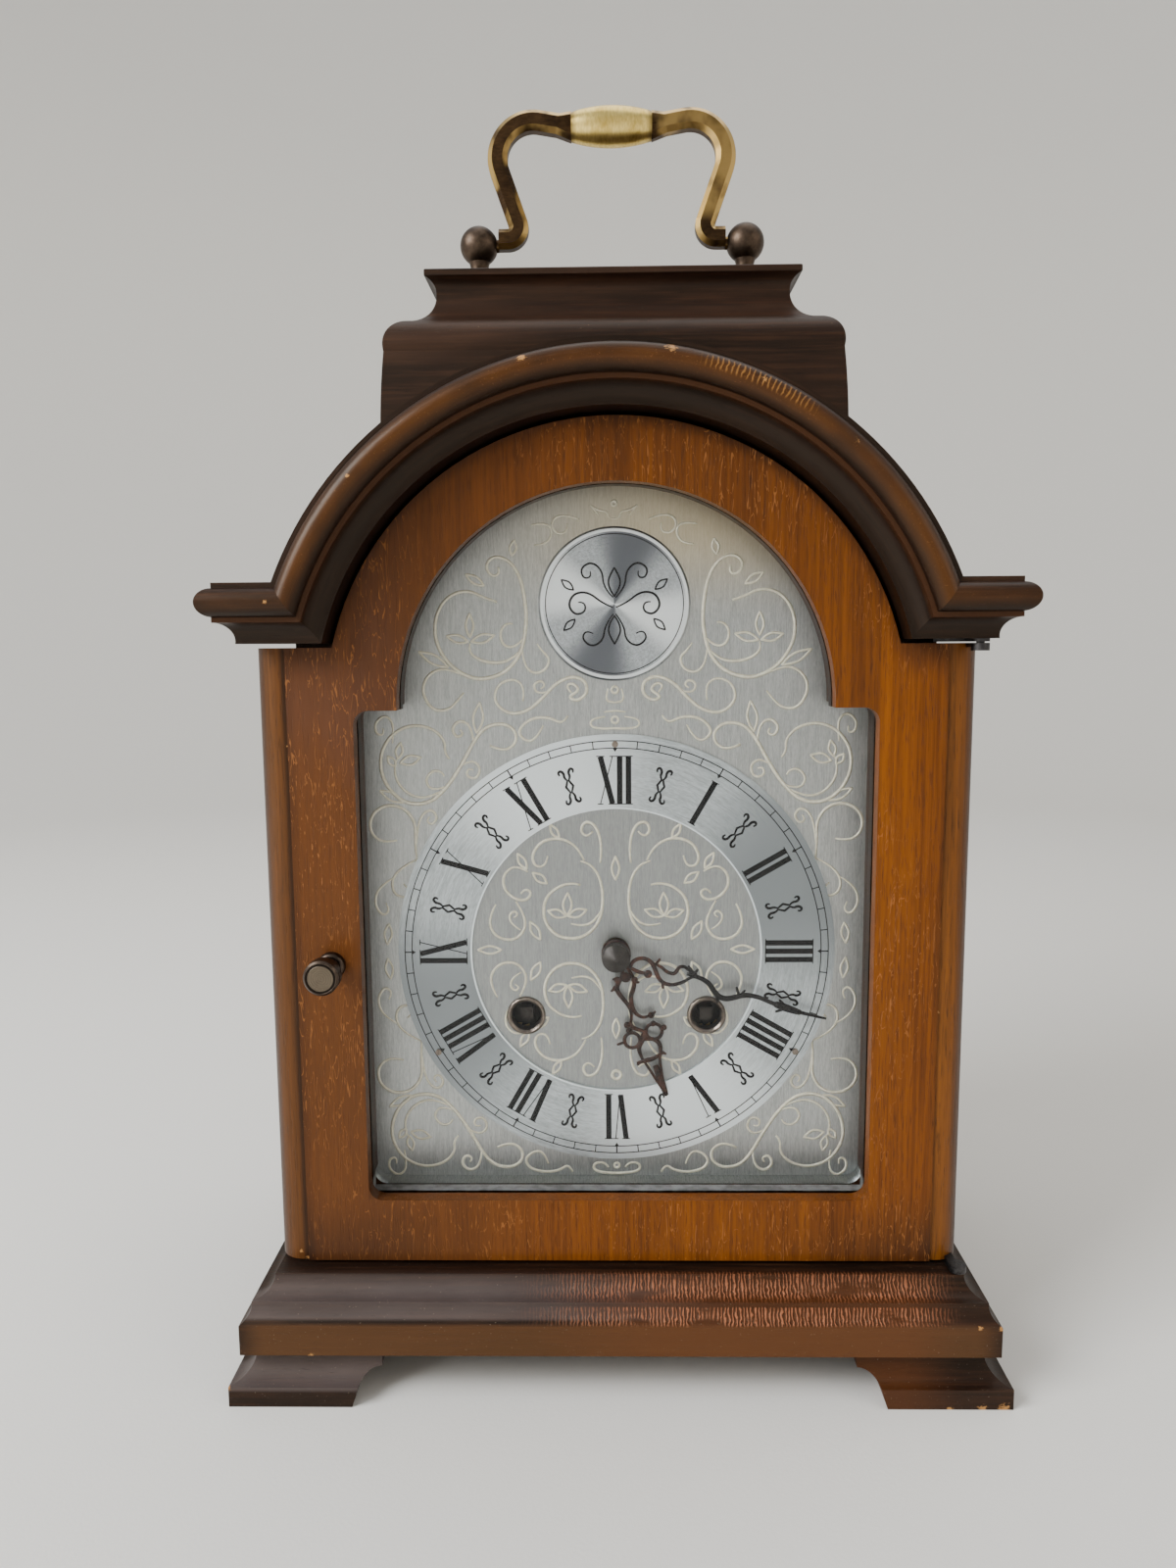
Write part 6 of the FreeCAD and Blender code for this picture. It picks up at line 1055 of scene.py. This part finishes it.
HOUR_STROKES = [
    dot(0, 0, HUB_RADIUS, HUB_RING),
    ([(1.8, -4.0), (2.4, -6.6), (1.2, -9.1), (0.3, -10.7), (0.2, -12.4), (2.0, -14.8), (4.2, -17.5),
      (5.1, -20.7), (4.6, -23.8)], WIRE),
    ([(3.2, -4.0), (5.0, -7.0), (5.9, -9.4), (5.6, -11.6), (4.6, -14.2), (4.8, -16.4), (5.3, -18.4),
      (6.6, -20.4), (9.0, -21.6), (11.3, -20.4)], WIRE),
    ([(4.6, -22.6), (4.6, -24.2), (6.8, -25.4), (9.8, -26.0)], WIRE),
    dot(5.1, -28.9, 2.7, FINE_WIRE),
    dot(12.1, -25.9, 2.8, FINE_WIRE),
    ([(9.0, -25.6), (8.8, -28.6), (7.4, -30.6), (7.2, -32.7), (8.8, -36.0)], WIRE),
    ([(7.6, -29.0), (11.0, -28.0), (13.7, -29.4), (14.5, -32.2), (13.9, -35.4)], WIRE),
    ([(6.6, -36.6), (9.7, -35.5), (11.8, -35.3), (15.4, -32.8)], WIRE * 1.1),
    ([(8.4, -35.2), (11.6, -40.0), (16.1, -47.6)], FINE_WIRE),
    ([(14.0, -34.3), (14.3, -40.2), (16.2, -47.6)], FINE_WIRE),
    ([(12.6, -37.4), (14.4, -42.4), (16.1, -47.4)], WIRE * 1.9),
    stud(0.4, -8.8, 1.1), stud(3.1, -8.0, 1.7), stud(5.9, -8.8, 1.1), stud(-0.2, -11.6, 1.0),
    stud(11.2, -20.5, 1.1),
    stud(4.2, -25.7, 1.1), stud(3.5, -23.8, 1.1), stud(15.3, -24.6, 1.0), stud(11.8, -23.3, 1.0),
    stud(9.0, -27.4, 1.2),
    thorn(0.4, -11.0, -1.7, -12.6), thorn(5.6, -9.6, 7.5, -9.6), thorn(1.0, -8.4, -1.2, -8.6),
    thorn(3.0, -29.4, 0.2, -30.4),
    thorn(14.0, -32.4, 16.1, -33.6), thorn(8.4, -35.8, 6.6, -37.2), thorn(11.0, -21.0, 12.6, -19.2),
]
MINUTE_STROKES = [
    dot(0, 0, HUB_RADIUS, HUB_RING),
    ([(3.6, -3.4), (4.4, -4.2), (5.2, -1.8), (8.1, -0.7), (10.9, -1.7), (12.3, -4.3), (13.3, -7.3),
      (15.0, -9.2), (17.9, -9.8), (21.4, -8.8), (23.4, -7.3), (25.2, -6.8)], WIRE * 0.95),
    ([(3.6, -3.4), (6.6, -5.3), (8.4, -5.7), (10.2, -6.1)], FINE_WIRE * 1.2),
    ([(11.4, -2.4), (14.1, -3.5), (15.9, -5.4), (18.3, -6.2), (19.3, -5.1), (19.9, -3.8), (21.6, -3.6),
      (23.1, -4.9), (25.2, -7.0)], FINE_WIRE * 1.1),
    ([(22.4, -6.0), (25.4, -7.0), (27.4, -7.7), (29.5, -9.2), (31.1, -11.8), (32.5, -13.6), (35.0, -14.4),
      (37.6, -13.8), (40.7, -13.0), (44.8, -13.5), (48.4, -15.2), (51.5, -16.6), (55.2, -17.9)], WIRE * 1.2),
    ([(46.0, -14.0), (55.2, -17.9), (60.3, -19.3), (66.8, -20.9)], FINE_WIRE * 1.15),
    ([(50.4, -16.0), (53.6, -17.2), (58.6, -18.9)], WIRE * 2.1),
    stud(10.1, -6.1, 1.35), stud(24.6, -6.4, 1.2), stud(32.4, -13.8, 1.0),
    thorn(12.4, -3.2, 14.0, -1.1), thorn(14.7, -8.9, 14.9, -10.9), thorn(24.6, -5.8, 22.8, -3.4),
    thorn(24.8, -6.0, 26.0, -4.6), thorn(31.8, -13.0, 32.3, -15.6), thorn(39.0, -13.2, 38.2, -10.4),
    thorn(39.6, -13.0, 41.0, -11.4), thorn(54.0, -17.0, 51.8, -14.6), thorn(54.0, -17.4, 50.6, -18.6),
]
for name, strokes, front, metal, body, slot in (
        ("hour", HOUR_STROKES, HOUR_Y, rust_hand, "hour_pipe", "hour_hand_copper"),
        ("minute", MINUTE_STROKES, MINUTE_Y, black_hand, "minute_arbor", "hand_black")):
    filigree = printed(name + "_filigree", strokes, ONE, front, metal, body, DIAL_Z, SHEET_SHARE,
                       HAND_SIDES)
    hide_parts(name + "_hand")

NUT_COLLAR = -0.0432, -0.0430
NUT_LINE = (-0.0437, -0.0436), (-0.0432, -0.0433)
COLLAR_BLACK, LINE_BRONZE = srgb(24, 21, 19), srgb(126, 96, 66)

nut_metal, colour, _ = aged_metal("nut_bronze", (46, 43, 41), (84, 81, 78), 0.3, 1500)
bright_line = nut_metal.y.between(*NUT_LINE)
colour = (nut_metal.y.ramp(*NUT_COLLAR) * 0.8).mix(colour, COLLAR_BLACK)
nut_metal.wear(Base_Color=(bright_line * 0.7).mix(colour, LINE_BRONZE))
dress(nut_metal, "hand_nut")


# Movement: brass plates and wheels, steel arbors and hammer, a coiled gong and a brass-faced pendulum,
# all on a plain board across the case behind the dial.
fitting(("front_plate", "back_plate", "plate_pillars", "pendulum_cock", "going_barrel", "strike_barrel",
         "centre_wheel", "third_wheel", "intermediate_wheel", "escape_wheel", "minute_wheel", "hour_wheel",
         "pin_wheel", "pendulum_bob"),
        "movement_brass", (150, 122, 70), (190, 160, 102), 0.26, (300, 300, 2600), 0.6)
fitting(("cannon_pinion", "fly", "hammer", "pallets", "pendulum_rod"),
        "movement_steel", (96, 98, 102), (164, 166, 170), 0.26, (2200, 300, 300), 0.4)
fitting(("going_winder", "strike_winder"), "winder_steel", (30, 28, 27), (72, 68, 64), 0.4, 1500)
fitting(("gong",), "gong_steel", (48, 54, 66), (104, 110, 120), 0.32, 800)

INNER_DARK, INNER_LIGHT = srgb(152, 118, 78), srgb(198, 164, 118)

inner_wood = Finish("inner_wood", Roughness=0.7)
rings = inner_wood.noise((10, 260, 260), 4.0, 0.6, 0.5, lengthwise(inner_wood))
inner_wood.wear(Base_Color=rings.ramp(0.3, 0.7).mix(INNER_DARK, INNER_LIGHT),
                Normal=inner_wood.bump(rings, 0.0001))
dress(inner_wood, "seat_board", "seat_rails", "gong_block")
